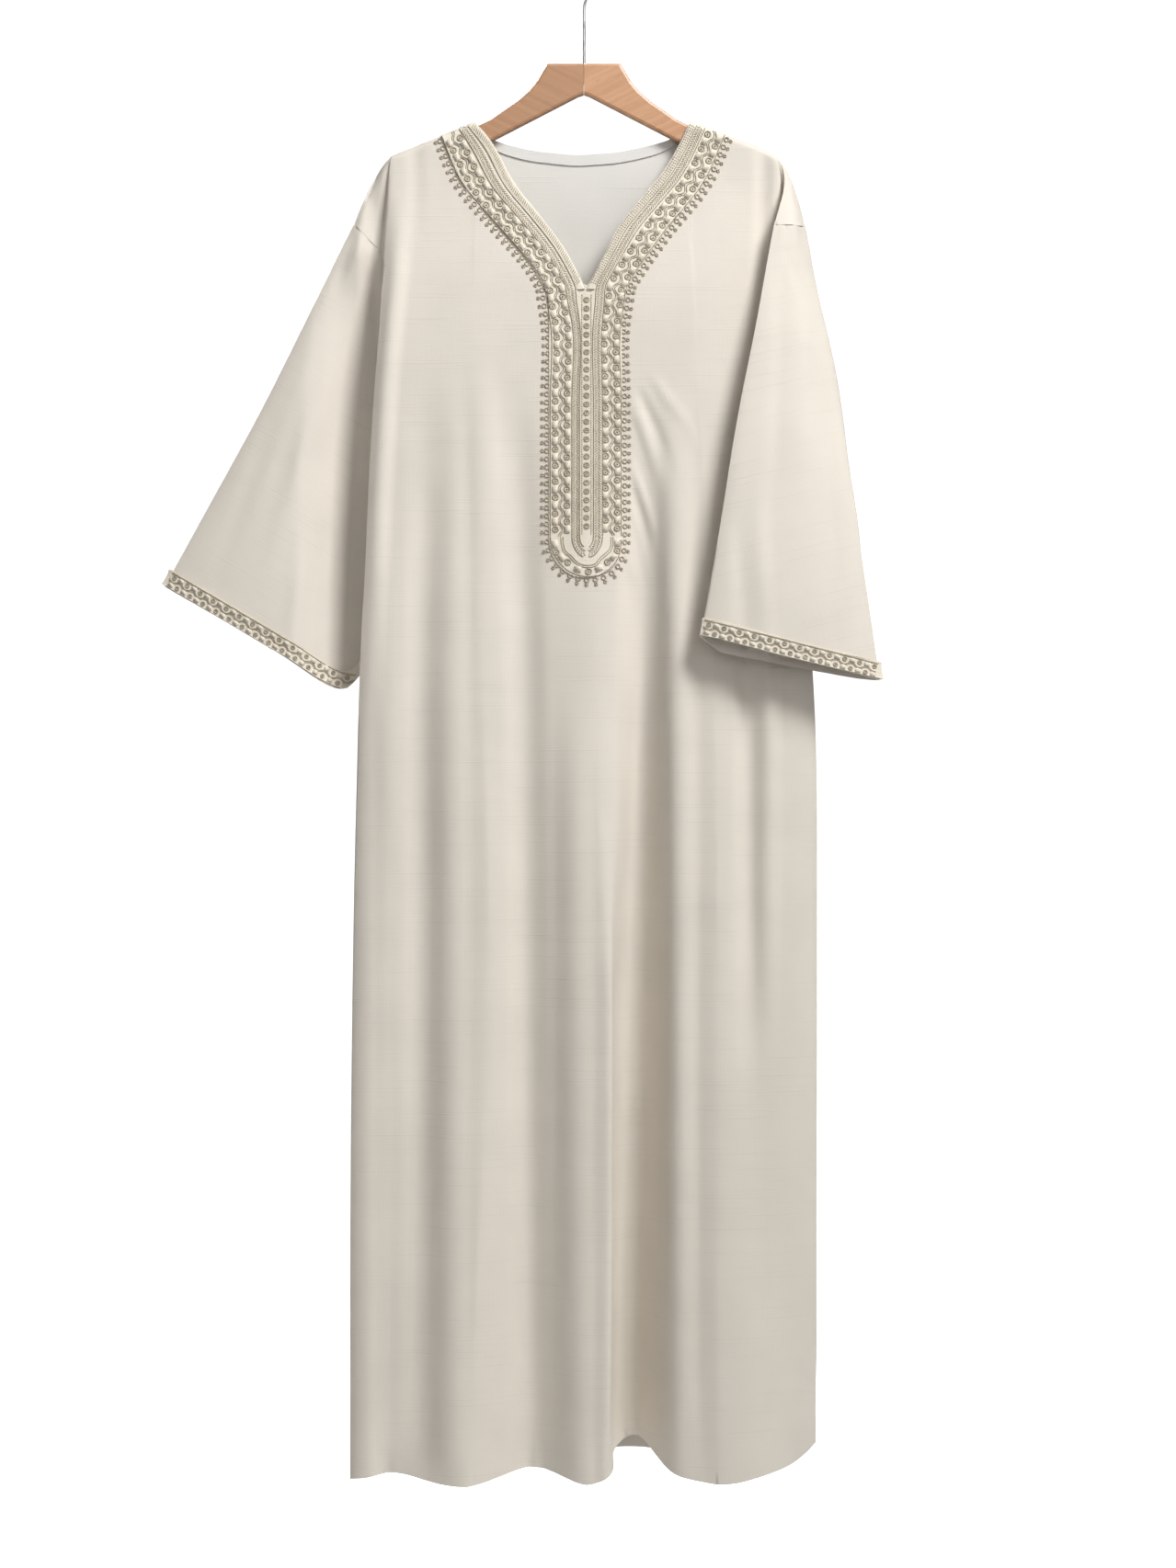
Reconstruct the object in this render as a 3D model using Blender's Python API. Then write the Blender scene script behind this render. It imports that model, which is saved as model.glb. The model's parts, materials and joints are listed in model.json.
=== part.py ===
"""A long cream thobe with an embroidered neck, hung on a wooden coat hanger.

The cloth is a thin wall. Each panel is a surface worked out from the ridge of
the shoulders, the neckline and a short table of the folds it hangs in, and the
sleeves are lofted from the armholes to the cuffs. Sizes are in millimetres:
x runs across the garment, drop is measured down from the point where the hook
rests on its rail, and out is the distance in front of the garment's middle.
The wearer's right is at negative x.
"""

import math
from collections import namedtuple

import bmesh
import bpy
import numpy as np
from mathutils import Vector
from mathutils.bvhtree import BVHTree

MM = 0.001

# Cloth and seams
CLOTH_WALL = 1.2
SEAM_GAP = 0.5
RIDGE_GAP = 0.4
LAID_ON_GAP = 0.4
LONGEST_MITRE = 2.0
LONGEST_AT_EDGE = 1.2
CLEAR_OF_MIDDLE = 480.0

# How the shoulders lie over the hanger's arms
ARM_WRAP = 9.0
FULL_RIDGE = 22.0
SHOULDER_FALL = 200.0

# Levels at which the folds are given, as drops
TOP, CHEST, WAIST, HIP, HEM = 230.0, 430.0, 740.0, 1060.0, 1665.0

# Hanger and hook
ARM_THICKNESS = 11.0
ARM_ROUNDING = 3.0
ARM_BELOW_RIDGE = 3.0
HALF_JOINT = 0.15
WIRE_RADIUS = 2.0
WIRE_HOLE_RADIUS = 2.3
WIRE_END_DROP = 152.0
HANGER_TOP_DROP = 130.0
HOOK_INNER_RADIUS = 22.0

# Rows of a panel: near the shoulder ridge, near the neckline, then as shares
# of the way down to the hem
RIDGE_ROWS = [0.0, 0.7, 2.6, 5.6, 9.0]
NECK_ROWS = [0.0, 4.0, 10.0, 18.0, 28.0]
FULL_NECK_ROWS = 25.0
ROW_SHARES = [0.011, 0.0235, 0.0375, 0.053,
              0.078, 0.104, 0.131, 0.16, 0.191, 0.2235,
              0.262, 0.305, 0.352, 0.405, 0.462, 0.522, 0.584,
              0.648, 0.712, 0.776, 0.84, 0.904, 0.957, 1.0]
GUTTER_START = 4
FLAP_ROWS = 8
UNDERARM_ROW = 14

Point = namedtuple("Point", "x drop out")
Line = namedtuple("Line", "name x_top x_chest out_chest x_waist out_waist "
                          "x_hip out_hip x_hem out_hem hem columns")
Side = namedtuple("Side", "drop edge_x edge_out seam_x seam_out")
Guide = namedtuple("Guide", "name columns armhole quarter half three_quarter cuff")

# Shoulder ridge from tip to tip of the hanger, as (x, drop)
RIDGE = [(-210, 230.5), (-205, 228), (-185, 220), (-165, 212), (-145, 204), (-125, 194.5),
         (-119, 193), (115.5, 193), (122, 194.5), (135, 199), (155, 207), (175, 214),
         (195, 222), (205, 226.5), (209.5, 231)]

# Neckline of each panel, as (x, drop)
FRONT_NECK = [(-119, 193), (-98.8, 216.6), (-75, 262), (-49.2, 294), (-24.2, 327.5),
              (-10, 353.5), (2.5, 378), (22, 340), (39, 306.5), (60, 280), (87.5, 246.5),
              (102.5, 221), (115.5, 193)]
BACK_NECK = [(-119, 193), (-111, 204), (-100, 213), (-60, 223.5), (-10, 229), (40, 225.5),
             (80, 216.5), (95, 211.5), (108, 202), (115.5, 193)]

# Columns of the mesh between one fold line and the next, as shares of the way
TWO = (0, 0.5)
THREE = (0, 0.33, 0.67)
FOUR = (0, 0.25, 0.5, 0.75)
FROM_NECK = (0, 0.05, 0.12, 0.25, 0.48, 0.74)
TO_NECK = (0, 0.5, 0.8, 0.92)

# Folds of the front, from the wearer's right to the left
FRONT_LINES = [
    Line("right_swell", -188, -200, 27, -218, 27, -228, 17, -233, 16, 1664, TWO),
    Line("right_dip", -160, -170, 28, -185, 27, -198, 11, -206, 9, 1660, THREE),
    Line("right_crest", -119, -122, 30, -118, 33, -108, 31, -130, 44, 1668, FROM_NECK),
    Line("middle_dip", -60, -62, 29, -62, 28, -62, 17, -55, 7, 1655, FOUR),
    Line("middle_crest", 2.5, 2.5, 29, 8, 34, 15, 41, 6, 50, 1664, TWO),
    Line("deep_fold_lip", 20, 24, 29.5, 30, 32.5, 34, 33, 32, 40, 1651, TWO),
    Line("deep_fold_wall", 38, 42, 29.5, 45, 29, 45, 16, 33, 8, 1640, TWO),
    Line("deep_fold_floor", 56, 58, 29.5, 60, 26.5, 61, 3, 56, -26, 1629, TWO),
    Line("deep_fold_rise", 74, 76, 29.5, 76, 27, 76, 8, 72, -6, 1638, TWO),
    Line("left_rise", 96, 98, 29.5, 98, 30, 99, 23, 97, 20, 1657, TO_NECK),
    Line("left_crest", 115.5, 122, 29.5, 140, 33, 146, 36, 148, 41, 1666, THREE),
    Line("left_dip", 160, 168, 27, 180, 27, 182, 27, 196, 32, 1658, TWO),
    Line("left_swell", 188, 196, 26, 213, 26, 220, 25, 228, 14, 1648, TWO),
]

# Folds of the back, from the wearer's right to the left
BACK_LINES = [
    Line("right_swell", -185, -195, 25, -210, 25, -222, 18, -230, 16, 1660, THREE),
    Line("right_crest", -119, -135, 28, -145, 33, -150, 42, -152, 60, 1667, FROM_NECK),
    Line("middle_dip", -55, -60, 25, -60, 26, -58, 26, -52, 36, 1658, FOUR),
    Line("middle_crest", 15, 20, 28, 30, 35, 42, 47, 52, 66, 1648, THREE),
    Line("left_dip", 70, 85, 25, 95, 28, 110, 27, 125, 32, 1650, TO_NECK),
    Line("left_crest", 115.5, 150, 27, 160, 32, 178, 38, 190, 50, 1650, THREE),
    Line("left_swell", 185, 198, 24, 212, 25, 225, 20, 232, 20, 1636, TWO),
]

# Fold edges at the body's sides, and the armhole and side seam behind them
RIGHT_SIDE = [
    Side(230.5, -210, 22, -210, 0.4),
    Side(240, -209.7, 22, -211, 6),
    Side(262, -210.5, 22, -214, 4),
    Side(300, -212.5, 22, -218, 3.5),
    Side(335, -214.5, 22, -220, 5),
    Side(376, -218, 22, -211, 6.5),
    Side(420, -221, 23, -200, 7),
    Side(500, -227, 24, -190, 5),
    Side(575, -231.5, 25, -186, 0.5),
    Side(640, -234.5, 25, -188, 0.5),
    Side(700, -237, 24, -200, 0.5),
    Side(770, -241.5, 21, -221, 0.5),
    Side(860, -244.5, 16, -236, 0.5),
    Side(1060, -249.5, 9, -246, 0.5),
    Side(1360, -253, 6, -251, 0.5),
    Side(1670, -254, 5, -252, 0.5),
]
LEFT_SIDE = [
    Side(231, 209.5, 22, 209.5, 0.4),
    Side(240, 210, 22, 212.2, 5.6),
    Side(256, 210.5, 22, 214.6, 4.3),
    Side(273, 210.5, 22, 216.5, 4),
    Side(292, 210.5, 22, 217, 4),
    Side(314, 211, 22, 217, 5),
    Side(352, 213, 22, 214.5, 6),
    Side(410, 217, 23, 212, 7),
    Side(478, 221.5, 24, 214, 6),
    Side(575, 229.5, 25, 219, 0.5),
    Side(640, 235, 25, 224, 0.5),
    Side(740, 243.5, 22, 236, 0.5),
    Side(860, 250.5, 16, 246, 0.5),
    Side(1060, 252, 10, 249, 0.5),
    Side(1360, 252, 7, 250, 0.5),
    Side(1670, 252, 5, 250, 0.5),
]
ARMHOLE_TOP_RIGHT = 335.0
ARMHOLE_TOP_LEFT = 314.0
HEM_AT_RIGHT_SEAM = 1668.0
HEM_AT_LEFT_SEAM = 1630.0

# Shoulder of the body beyond the hanger's tip, down to the sleeve seam
RIGHT_SHOULDER = [Point(-210, 230.5, 0), Point(-217, 238, 0), Point(-225, 250, 0),
                  Point(-232.5, 264, 0), Point(-239.5, 278, 0), Point(-245.5, 291, 0),
                  Point(-250, 304, 0)]
LEFT_SHOULDER = [Point(209.5, 231, 0), Point(215, 236, 0), Point(220, 243, 0),
                 Point(227, 258, 0), Point(233, 275, 0), Point(237, 290, 0),
                 Point(241, 307, 0)]

# The left flap turns forwards: points of its rows from the hanger's tip down,
# first where it leaves the gutter, then along its lip, then along its crown
LEFT_HOLLOW = [Point(215.9, 255, 7.5), Point(218.8, 272.5, 11),
               Point(220.3, 292, 15.5), Point(221, 313, 20)]
LEFT_LIP = [Point(217.4, 254, 11), Point(215.8, 271, 19),
            Point(211, 290, 28), Point(204.5, 311, 36)]
LEFT_CROWN = [Point(221.5, 254, 8.8), Point(225.5, 271, 14.5),
              Point(227.7, 289, 21.5), Point(228.5, 310, 28.5)]
FLAT_EDGE = 1.45

# Sleeves: lines that run from the armhole to the cuff, as (x, drop, out)
RIGHT_SLEEVE = [
    Guide("top_fold", 3, (-250, 304, 0), (-298, 401, 0), (-348, 501, 0), (-402, 600, 0),
          (-456, 698, 0)),
    Guide("front_upper", 3, (-236, 316, 5), (-271, 441, 10), (-311, 541, 12),
          (-351, 638, 13), (-392, 735, 13)),
    Guide("front_lower", 3, (-220, 335, 5), (-243, 480, 8), (-272, 580, 11),
          (-301, 677, 12), (-328, 773, 12)),
    Guide("lower_fold", 3, (-197, 455, 6), (-214, 520, 6), (-234, 620, 5), (-250, 715, 5),
          (-264, 809, 4)),
    Guide("seam", 3, (-186, 575, 0), (-198, 627, -1), (-211, 680, -2), (-223, 731, -3),
          (-235, 778, -4)),
    Guide("back_fold", 3, (-197, 455, -6), (-214, 520, -8), (-232, 615, -10),
          (-246, 705, -12), (-258, 792, -14)),
    Guide("back_lower", 3, (-220, 335, -5), (-243, 480, -9), (-272, 580, -13),
          (-301, 677, -15), (-328, 766, -16)),
    Guide("back_upper", 3, (-236, 316, -5), (-271, 441, -9), (-311, 541, -12),
          (-351, 638, -13), (-392, 730, -13)),
]
LEFT_SLEEVE = [
    Guide("top_fold", 2, (241, 307, 0), (262, 430, 16), (281, 552, 31), (299, 675, 45),
          (316.5, 802, 56)),
    Guide("front_middle", 4, (226.5, 310, 28), (224, 424, 44), (222, 540, 55),
          (222, 657, 63), (222, 779, 69)),
    Guide("front_fold", 4, (205.5, 311, 36), (185, 417, 52), (163, 528, 59),
          (145, 640, 63), (125, 755, 65)),
    Guide("hollow", 2, (221, 313, 20), (206, 410, 37), (183, 518, 45), (157, 636, 49),
          (131, 760, 53)),
    Guide("under_fold", 3, (217, 314, 7), (222, 400, 29), (197, 510, 41), (168, 636, 46),
          (137, 765, 50)),
    Guide("under_middle", 3, (213.5, 444, 7), (240, 492, 20), (226, 575, 42),
          (182, 672, 48), (145, 771, 51)),
    Guide("seam", 3, (219, 575, 0), (254, 622, 12), (243, 676, 42), (200, 722, 49),
          (160, 775, 49)),
    Guide("back_lower", 3, (213.5, 444, -7), (262, 540, -2), (262, 640, 20),
          (230, 716, 42), (190, 780.5, 46)),
    Guide("back_middle", 2, (217, 314, -7), (268, 478, -4), (280, 592, 16),
          (264, 708, 36), (247, 791.5, 45)),
    Guide("back_upper", 2, (233, 311, -6), (272, 455, 2), (286, 572, 20), (291, 695, 38),
          (293, 800, 49)),
]
RING_SHARES = [0, 0.03, 0.08, 0.14, 0.21, 0.28, 0.36, 0.44, 0.52, 0.6, 0.68, 0.76, 0.84,
               0.91, 0.955, 1.0]
ARMHOLE_BLEND = 0.3

# Embroidered bands
CUFF_BAND_WIDTH = 19.0
PLACKET_RIGHT, PLACKET_LEFT = -37.5, 41.0
PLACKET_TOP = 383.0
PLACKET_BOTTOM = 691.0
PLACKET_ROUND = 42.0
BRAID_BOTTOM = 668.0
NECK_BAND_OUTER_RIGHT = [(-155, 209.5), (-134, 259), (-98.5, 303), (-77, 327.5),
                         (-57.5, 351), (-43, 375.5), (-40.5, 382)]
NECK_BAND_OUTER_LEFT = [(154, 208), (132, 258), (86, 318), (53, 366), (43.5, 382)]
NECK_BAND_INNER_RIGHT = [(-118.5, 195.5), (-98.1, 218.6), (-74.5, 264), (-48.7, 296),
                         (-23.7, 329.5), (-9.5, 355.5), (1.6, 379)]
NECK_BAND_INNER_LEFT = [(115, 195.5), (102, 223), (87, 248.5), (59.5, 282), (38.5, 308.5),
                        (21.5, 342), (3.4, 379)]
NECK_BAND_STATIONS = [0, 0.012, 0.026, 0.05, 0.09, 0.17, 0.28, 0.4, 0.52, 0.64, 0.76, 0.88, 1]
Rib = namedtuple("Rib", "share height")
NECK_RIBS = [Rib(0, 0.9), Rib(0.04, 1.7), Rib(0.18, 1.7), Rib(0.23, 1.0), Rib(0.28, 1.6),
             Rib(0.42, 1.6), Rib(0.47, 0.9), Rib(0.92, 0.9), Rib(0.96, 1.3), Rib(1, 0.9)]
PLACKET_RIBS = [Rib(-1, 0.9), Rib(-0.96, 1.3), Rib(-0.9, 0.9), Rib(-0.47, 0.9),
                Rib(-0.42, 1.7), Rib(-0.12, 1.6), Rib(0, 1.9), Rib(0.12, 1.6),
                Rib(0.42, 1.7), Rib(0.47, 0.9), Rib(0.9, 0.9), Rib(0.96, 1.3), Rib(1, 0.9)]
CUFF_RIBS = [Rib(0, 0.9), Rib(0.12, 1.3), Rib(0.24, 0.9), Rib(0.85, 0.9), Rib(1, 1.2)]

# Binding of the back neck
BINDING_WALL = 1.0
BINDING_FROM, BINDING_TO = -108.0, 106.0

# Hanger's right half, as (x, drop): top, then its underside from the joint out
ARM_CROWN = [(-39.5, 130), (-44, 137), (-51, 149), (-60, 160), (-72.5, 171), (-90, 183),
             (-101, 190.8), (-113, 196.7)]
ARM_RIDGE_X = [-140, -158, -176, -193]
ARM_TIP = [(-198, 231), (-197, 239), (-190, 243)]
ARM_UNDERSIDE = [(-150, 231), (-99, 213.6), (-50, 188.3), (-6, 165.5)]
APEX_DROP = 163.6

Finish = namedtuple("Finish", "color metallic roughness")
FINISHES = {
    "cloth": Finish((0.73, 0.67, 0.58), 0.0, 0.85),
    "embroidery": Finish((0.62, 0.53, 0.38), 0.0, 0.75),
    "binding": Finish((0.68, 0.66, 0.62), 0.0, 0.8),
    "wood": Finish((0.60, 0.30, 0.12), 0.0, 0.45),
    "wire": Finish((0.80, 0.80, 0.82), 1.0, 0.25),
}


def place(x, drop, out):
    """Turns garment measures into metres: out is towards -Y and drop is down."""
    return (x * MM, -out * MM, -drop * MM)


def profile(points, x):
    """Height of a profile of straight stretches at x."""
    xs, heights = zip(*points)
    return float(np.interp(x, xs, heights))


def ease(levels, values, at):
    """A smooth curve through the values, flat beyond the first and last level."""
    if at <= levels[0]:
        return np.asarray(values[0], float)
    if at >= levels[-1]:
        return np.asarray(values[-1], float)
    k = 0
    while at >= levels[k + 1]:
        k += 1
    span = levels[k + 1] - levels[k]
    start, end = np.asarray(values[k], float), np.asarray(values[k + 1], float)
    leave, arrive = slope(levels, values, k) * span, slope(levels, values, k + 1) * span
    return hermite(start, end, leave, arrive, (at - levels[k]) / span)


def slope(levels, values, k):
    """Rate of change of the values at one level, from its two neighbours."""
    low, high = max(k - 1, 0), min(k + 1, len(levels) - 1)
    rise = np.asarray(values[high], float) - np.asarray(values[low], float)
    return rise / (levels[high] - levels[low])


def hermite(start, end, leave, arrive, t):
    """Cubic from start to end with the tangents it leaves and arrives with."""
    a = 2 * t ** 3 - 3 * t ** 2 + 1
    b = t ** 3 - 2 * t ** 2 + t
    c = 3 * t ** 2 - 2 * t ** 3
    d = t ** 3 - t ** 2
    return a * start + b * leave + c * end + d * arrive


def step01(t):
    """Smooth rise from 0 to 1."""
    t = min(max(t, 0.0), 1.0)
    return t * t * (3 - 2 * t)


def tangents(points, knots):
    """Tangent at each point, weighing its two neighbours by their distance."""
    result = []
    last = len(points) - 1
    for k in range(len(points)):
        if k == 0:
            result.append((points[1] - points[0]) / (knots[1] - knots[0]))
        elif k == last:
            result.append((points[k] - points[k - 1]) / (knots[k] - knots[k - 1]))
        else:
            before = (points[k] - points[k - 1]) / (knots[k] - knots[k - 1])
            after = (points[k + 1] - points[k]) / (knots[k + 1] - knots[k])
            across = (points[k + 1] - points[k - 1]) / (knots[k + 1] - knots[k - 1])
            result.append(before + after - across)
    return result


def knots_along(points):
    """Curve parameter at each point: the root of the distance, summed."""
    knots = [0.0]
    for a, b in zip(points, points[1:]):
        knots.append(knots[-1] + max(math.sqrt(float(np.linalg.norm(b - a))), 0.02))
    return knots


def curve_at(points, u):
    """Point of the smooth curve through the points, where u counts the points."""
    points = [np.asarray(p, float) for p in points]
    knots = knots_along(points)
    slopes = tangents(points, knots)
    k = min(int(u), len(points) - 2)
    span = knots[k + 1] - knots[k]
    return hermite(points[k], points[k + 1], slopes[k] * span, slopes[k + 1] * span, u - k)


def along(points, share):
    """Point at a share of the length of a run of straight stretches."""
    points = [np.asarray(p, float) for p in points]
    lengths = [float(np.linalg.norm(b - a)) for a, b in zip(points, points[1:])]
    reach = share * sum(lengths)
    for a, b, length in zip(points, points[1:], lengths):
        if reach <= length:
            return a + (b - a) * (reach / length)
        reach -= length
    return points[-1]


class Panel:
    """Front or back: a surface over u, counted in fold lines, and drop."""

    def __init__(self, lines, neck, facing):
        self.lines = lines
        self.neck = neck
        self.facing = facing
        self.fold_table = [
            [(line.x_top, FULL_RIDGE) for line in lines],
            [(line.x_chest, line.out_chest) for line in lines],
            [(line.x_waist, line.out_waist) for line in lines],
            [(line.x_hip, line.out_hip) for line in lines],
            [(line.x_hem, line.out_hem) for line in lines],
        ]
        self.columns = self.column_places()
        self.rows = len(RIDGE_ROWS) + len(ROW_SHARES)

    def column_places(self):
        """The u of each column: seam, fold edge, fold lines, fold edge, seam."""
        shares = [THREE, TWO] + [line.columns for line in self.lines] + [THREE]
        places = [k + share for k, row in enumerate(shares) for share in row]
        return places + [len(shares)]

    def controls(self, drop):
        """Seam, fold edge and fold lines across the panel at one drop."""
        across = ease([TOP, CHEST, WAIST, HIP, HEM], self.fold_table, drop)
        right_edge, right_seam = self.side(RIGHT_SIDE, drop)
        left_edge, left_seam = self.side(LEFT_SIDE, drop)
        return [right_seam, right_edge] + list(across) + [left_edge, left_seam]

    def side(self, table, drop):
        """The fold edge and the seam behind it at one drop."""
        drops = [row.drop for row in table]
        values = [[row.edge_x, row.edge_out, row.seam_x, row.seam_out] for row in table]
        edge_x, edge_out, seam_x, seam_out = ease(drops, values, drop)
        full = self.fullness(seam_x, drop)
        return np.array([edge_x, edge_out]), np.array([seam_x, seam_out / max(full, 0.1)])

    def fullness(self, x, drop):
        """Share of its full depth that the cloth has reached below the ridge."""
        below = drop - profile(RIDGE, x)
        wrap = ARM_WRAP / FULL_RIDGE
        if below <= 0:
            return 0.0
        if below < ARM_WRAP:
            return wrap * math.sqrt(1 - (1 - below / ARM_WRAP) ** 2)
        return wrap + (1 - wrap) * step01((below - ARM_WRAP) / SHOULDER_FALL)

    def at(self, u, drop, controls=None):
        """Point of the panel's outer surface."""
        x, out = curve_at(controls or self.controls(drop), u)
        out = max(out * self.fullness(x, drop), RIDGE_GAP) if drop < CHEST else out
        return Point(x, drop, out * self.facing)

    def top(self, u):
        """Drop at which a column starts: on the ridge or at the neckline."""
        x = curve_at([(line_x, 0) for line_x in self.top_xs()], u)[0]
        if self.neck[0][0] < x < self.neck[-1][0]:
            return profile(self.neck, x)
        return profile(RIDGE, x)

    def top_xs(self):
        """Where the seam, fold edges and fold lines start on the ridge."""
        tip_right, tip_left = RIDGE[0][0], RIDGE[-1][0]
        return [tip_right, tip_right] + [line.x_top for line in self.lines] + [tip_left,
                                                                            tip_left]

    def hem(self, u):
        """Drop of the hem along the panel."""
        drops = [HEM_AT_RIGHT_SEAM, HEM_AT_RIGHT_SEAM] + [line.hem for line in self.lines]
        drops += [HEM_AT_LEFT_SEAM - 2, HEM_AT_LEFT_SEAM]
        return curve_at([(k * 30, drop) for k, drop in enumerate(drops)], u)[1]

    def drop_of(self, u, row):
        """Drop of a row on a column."""
        last = len(self.lines) + 3
        if u < 1:
            return self.side_drop(u, row, ARMHOLE_TOP_RIGHT, HEM_AT_RIGHT_SEAM, 1 - u, 1)
        if u > last - 1:
            return self.side_drop(u, row, ARMHOLE_TOP_LEFT, HEM_AT_LEFT_SEAM,
                                  u - last + 1, last - 1)
        return self.plain_drop(u, row)

    def plain_drop(self, u, row):
        """Drop of a row between the fold edges."""
        top = self.top(u)
        neck_right, neck_left = self.neck_lines()
        steps = RIDGE_ROWS
        if neck_right < u < neck_left:
            away = min((top - self.neck[0][1]) / FULL_NECK_ROWS, 1)
            steps = [a + (b - a) * away for a, b in zip(RIDGE_ROWS, NECK_ROWS)]
        if row < len(steps):
            return top + steps[row]
        start = top + steps[-1]
        return start + (self.hem(u) - start) * ROW_SHARES[row - len(steps)]

    def neck_lines(self):
        """The u of the two lines that end at the neck points."""
        names = [line.x_top for line in self.lines]
        return names.index(self.neck[0][0]) + 2, names.index(self.neck[-1][0]) + 2

    def side_drop(self, u, row, armhole_top, hem, share, edge):
        """Drop of a row between a fold edge and the seam behind it."""
        edge_drop = self.plain_drop(edge, row)
        if row < GUTTER_START:
            return edge_drop
        if row <= FLAP_ROWS:
            beyond = armhole_top - self.plain_drop(edge, FLAP_ROWS)
            seam_drop = edge_drop + beyond * (row / FLAP_ROWS) ** 2
        else:
            shares = ROW_SHARES[FLAP_ROWS - len(RIDGE_ROWS):]
            done = (shares[row - FLAP_ROWS] - shares[0]) / (1 - shares[0])
            seam_drop = armhole_top + (hem - armhole_top) * done
        return edge_drop + (seam_drop - edge_drop) * share

    def grid(self):
        """Rows of points from the top edge to the hem."""
        first, last = 1, len(self.lines) + 2
        rows = []
        for row in range(self.rows):
            across = self.columns
            if row < GUTTER_START:
                across = [min(max(u, first), last) for u in across]
            rows.append([self.at(u, self.drop_of(u, row)) for u in across])
        return rows

    def place_of(self, x, drop):
        """The u at which the panel passes x, sought between the neck lines."""
        low, high = 1.0, len(self.lines) + 2.0
        controls = self.controls(drop)
        for _ in range(24):
            middle = (low + high) / 2
            if self.at(middle, drop, controls).x < x:
                low = middle
            else:
                high = middle
        return (low + high) / 2

    def point_and_normal(self, x, drop):
        """Point of the outer surface at x and drop, and the cloth's normal there."""
        u = self.place_of(x, drop)
        here = np.array(self.at(u, drop))
        across = np.array(self.at(u + 0.02, drop)) - np.array(self.at(u - 0.02, drop))
        down = np.array(self.at(u, drop + 0.4)) - here
        normal = np.cross(across, down) * self.facing
        normal /= np.linalg.norm(normal)
        if normal[2] * self.facing < 0:
            normal = -normal
        return here, normal


def shoulder_flap(grid, column, outer, lines, facing, counts):
    """Cloth beyond a hanger tip: a cap over the tip, then a flap past a gutter."""
    tip = grid[0][column]
    rows = [[grid[row][column]] + [tip] * sum(counts) for row in range(GUTTER_START)]
    for row in range(GUTTER_START, FLAP_ROWS + 1):
        valley = grid[row][column]
        share = (valley.drop - tip.drop) / (grid[FLAP_ROWS][column].drop - tip.drop)
        edge = Point(*along(outer, share))
        edge = Point(edge.x, edge.drop, FLAT_EDGE * facing)
        crest = flap_middle(valley, edge, share, facing)
        if row == GUTTER_START:
            rows.append([valley] + [crest] * (sum(counts) - 1) + [edge])
            continue
        middle = [line[row - GUTTER_START - 1] for line in lines] or [crest]
        controls = [valley] + middle + [edge]
        points = []
        for k, count in enumerate(counts):
            points += [Point(*curve_at(controls, k + i / count)) for i in range(count)]
        rows.append(points + [edge])
    return rows


def flap_middle(valley, edge, share, facing):
    """Crest of a flap, which swells a little between valley and outline."""
    out = abs(valley.out) * 0.5 + 2.2 + 4.5 * share
    return Point(valley.x * 0.45 + edge.x * 0.55, valley.drop * 0.45 + edge.drop * 0.55,
                 facing * out)


def armhole_edge(grid, column, flap):
    """Points from the shoulder's outline round to the underarm."""
    points = list(reversed(flap[FLAP_ROWS]))
    for row in range(FLAP_ROWS + 1, UNDERARM_ROW + 1):
        points.append(grid[row][column])
    return points


def split_edge(points, flap_stretches):
    """The edge with each stretch of the flap halved, as the sleeve is divided."""
    finer = []
    for k, (a, b) in enumerate(zip(points, points[1:])):
        finer.append(np.array(a))
        if k < flap_stretches:
            finer.append((np.array(a) + np.array(b)) / 2)
    return finer + [np.array(points[-1])]


def guide_at(guide, share):
    """Point of a sleeve's guide line at a share of its length."""
    stations = [guide.armhole, guide.quarter, guide.half, guide.three_quarter, guide.cuff]
    return ease([0, 0.25, 0.5, 0.75, 1], stations, share)


def guided_ring(guides, share):
    """Closed ring through the guide lines."""
    corners = [guide_at(guide, share) for guide in guides]
    wrapped = corners[-2:] + corners + corners[:3]
    ring = []
    for k, guide in enumerate(guides):
        for i in range(guide.columns):
            ring.append(curve_at(wrapped, k + 2 + i / guide.columns))
    return ring


def sleeve_rings(guides, front_edge, back_edge):
    """Rings from the armhole to the cuff; the first lies along the armhole."""
    top = (front_edge[0] + back_edge[0]) / 2
    under = (front_edge[-1] + back_edge[-1]) / 2
    armhole = [top] + front_edge[1:-1] + [under] + list(reversed(back_edge[1:-1]))
    first = guided_ring(guides, 0)
    shift = [a - b for a, b in zip(armhole, first)]
    rings = []
    for share in RING_SHARES:
        fade = 1 - step01(share / ARMHOLE_BLEND)
        ring = guided_ring(guides, share)
        rings.append([p + s * fade for p, s in zip(ring, shift)])
    edge = rings[0]
    rings[0] = []
    for k, point in enumerate(edge):
        seam = edge[(k + 1) % len(edge)] - edge[k - 1]
        seam /= np.linalg.norm(seam)
        away = rings[1][k] - point
        away -= seam * float(away @ seam)
        rings[0].append(point + away * (SEAM_GAP / np.linalg.norm(away)))
    return rings


def off_ring(ring, along_sleeve, distance):
    """The ring moved outwards by a distance, square to each of its stretches."""
    count = len(ring)
    sides = []
    for k in range(count):
        side = np.cross(ring[(k + 1) % count] - ring[k], along_sleeve[k])
        sides.append(side / np.linalg.norm(side))
    moved = []
    for k in range(count):
        before, after = sides[k - 1], sides[k]
        mitre = (before + after) / max(1 + float(before @ after), 0.15)
        moved.append(ring[k] + mitre * distance)
    return moved


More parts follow.
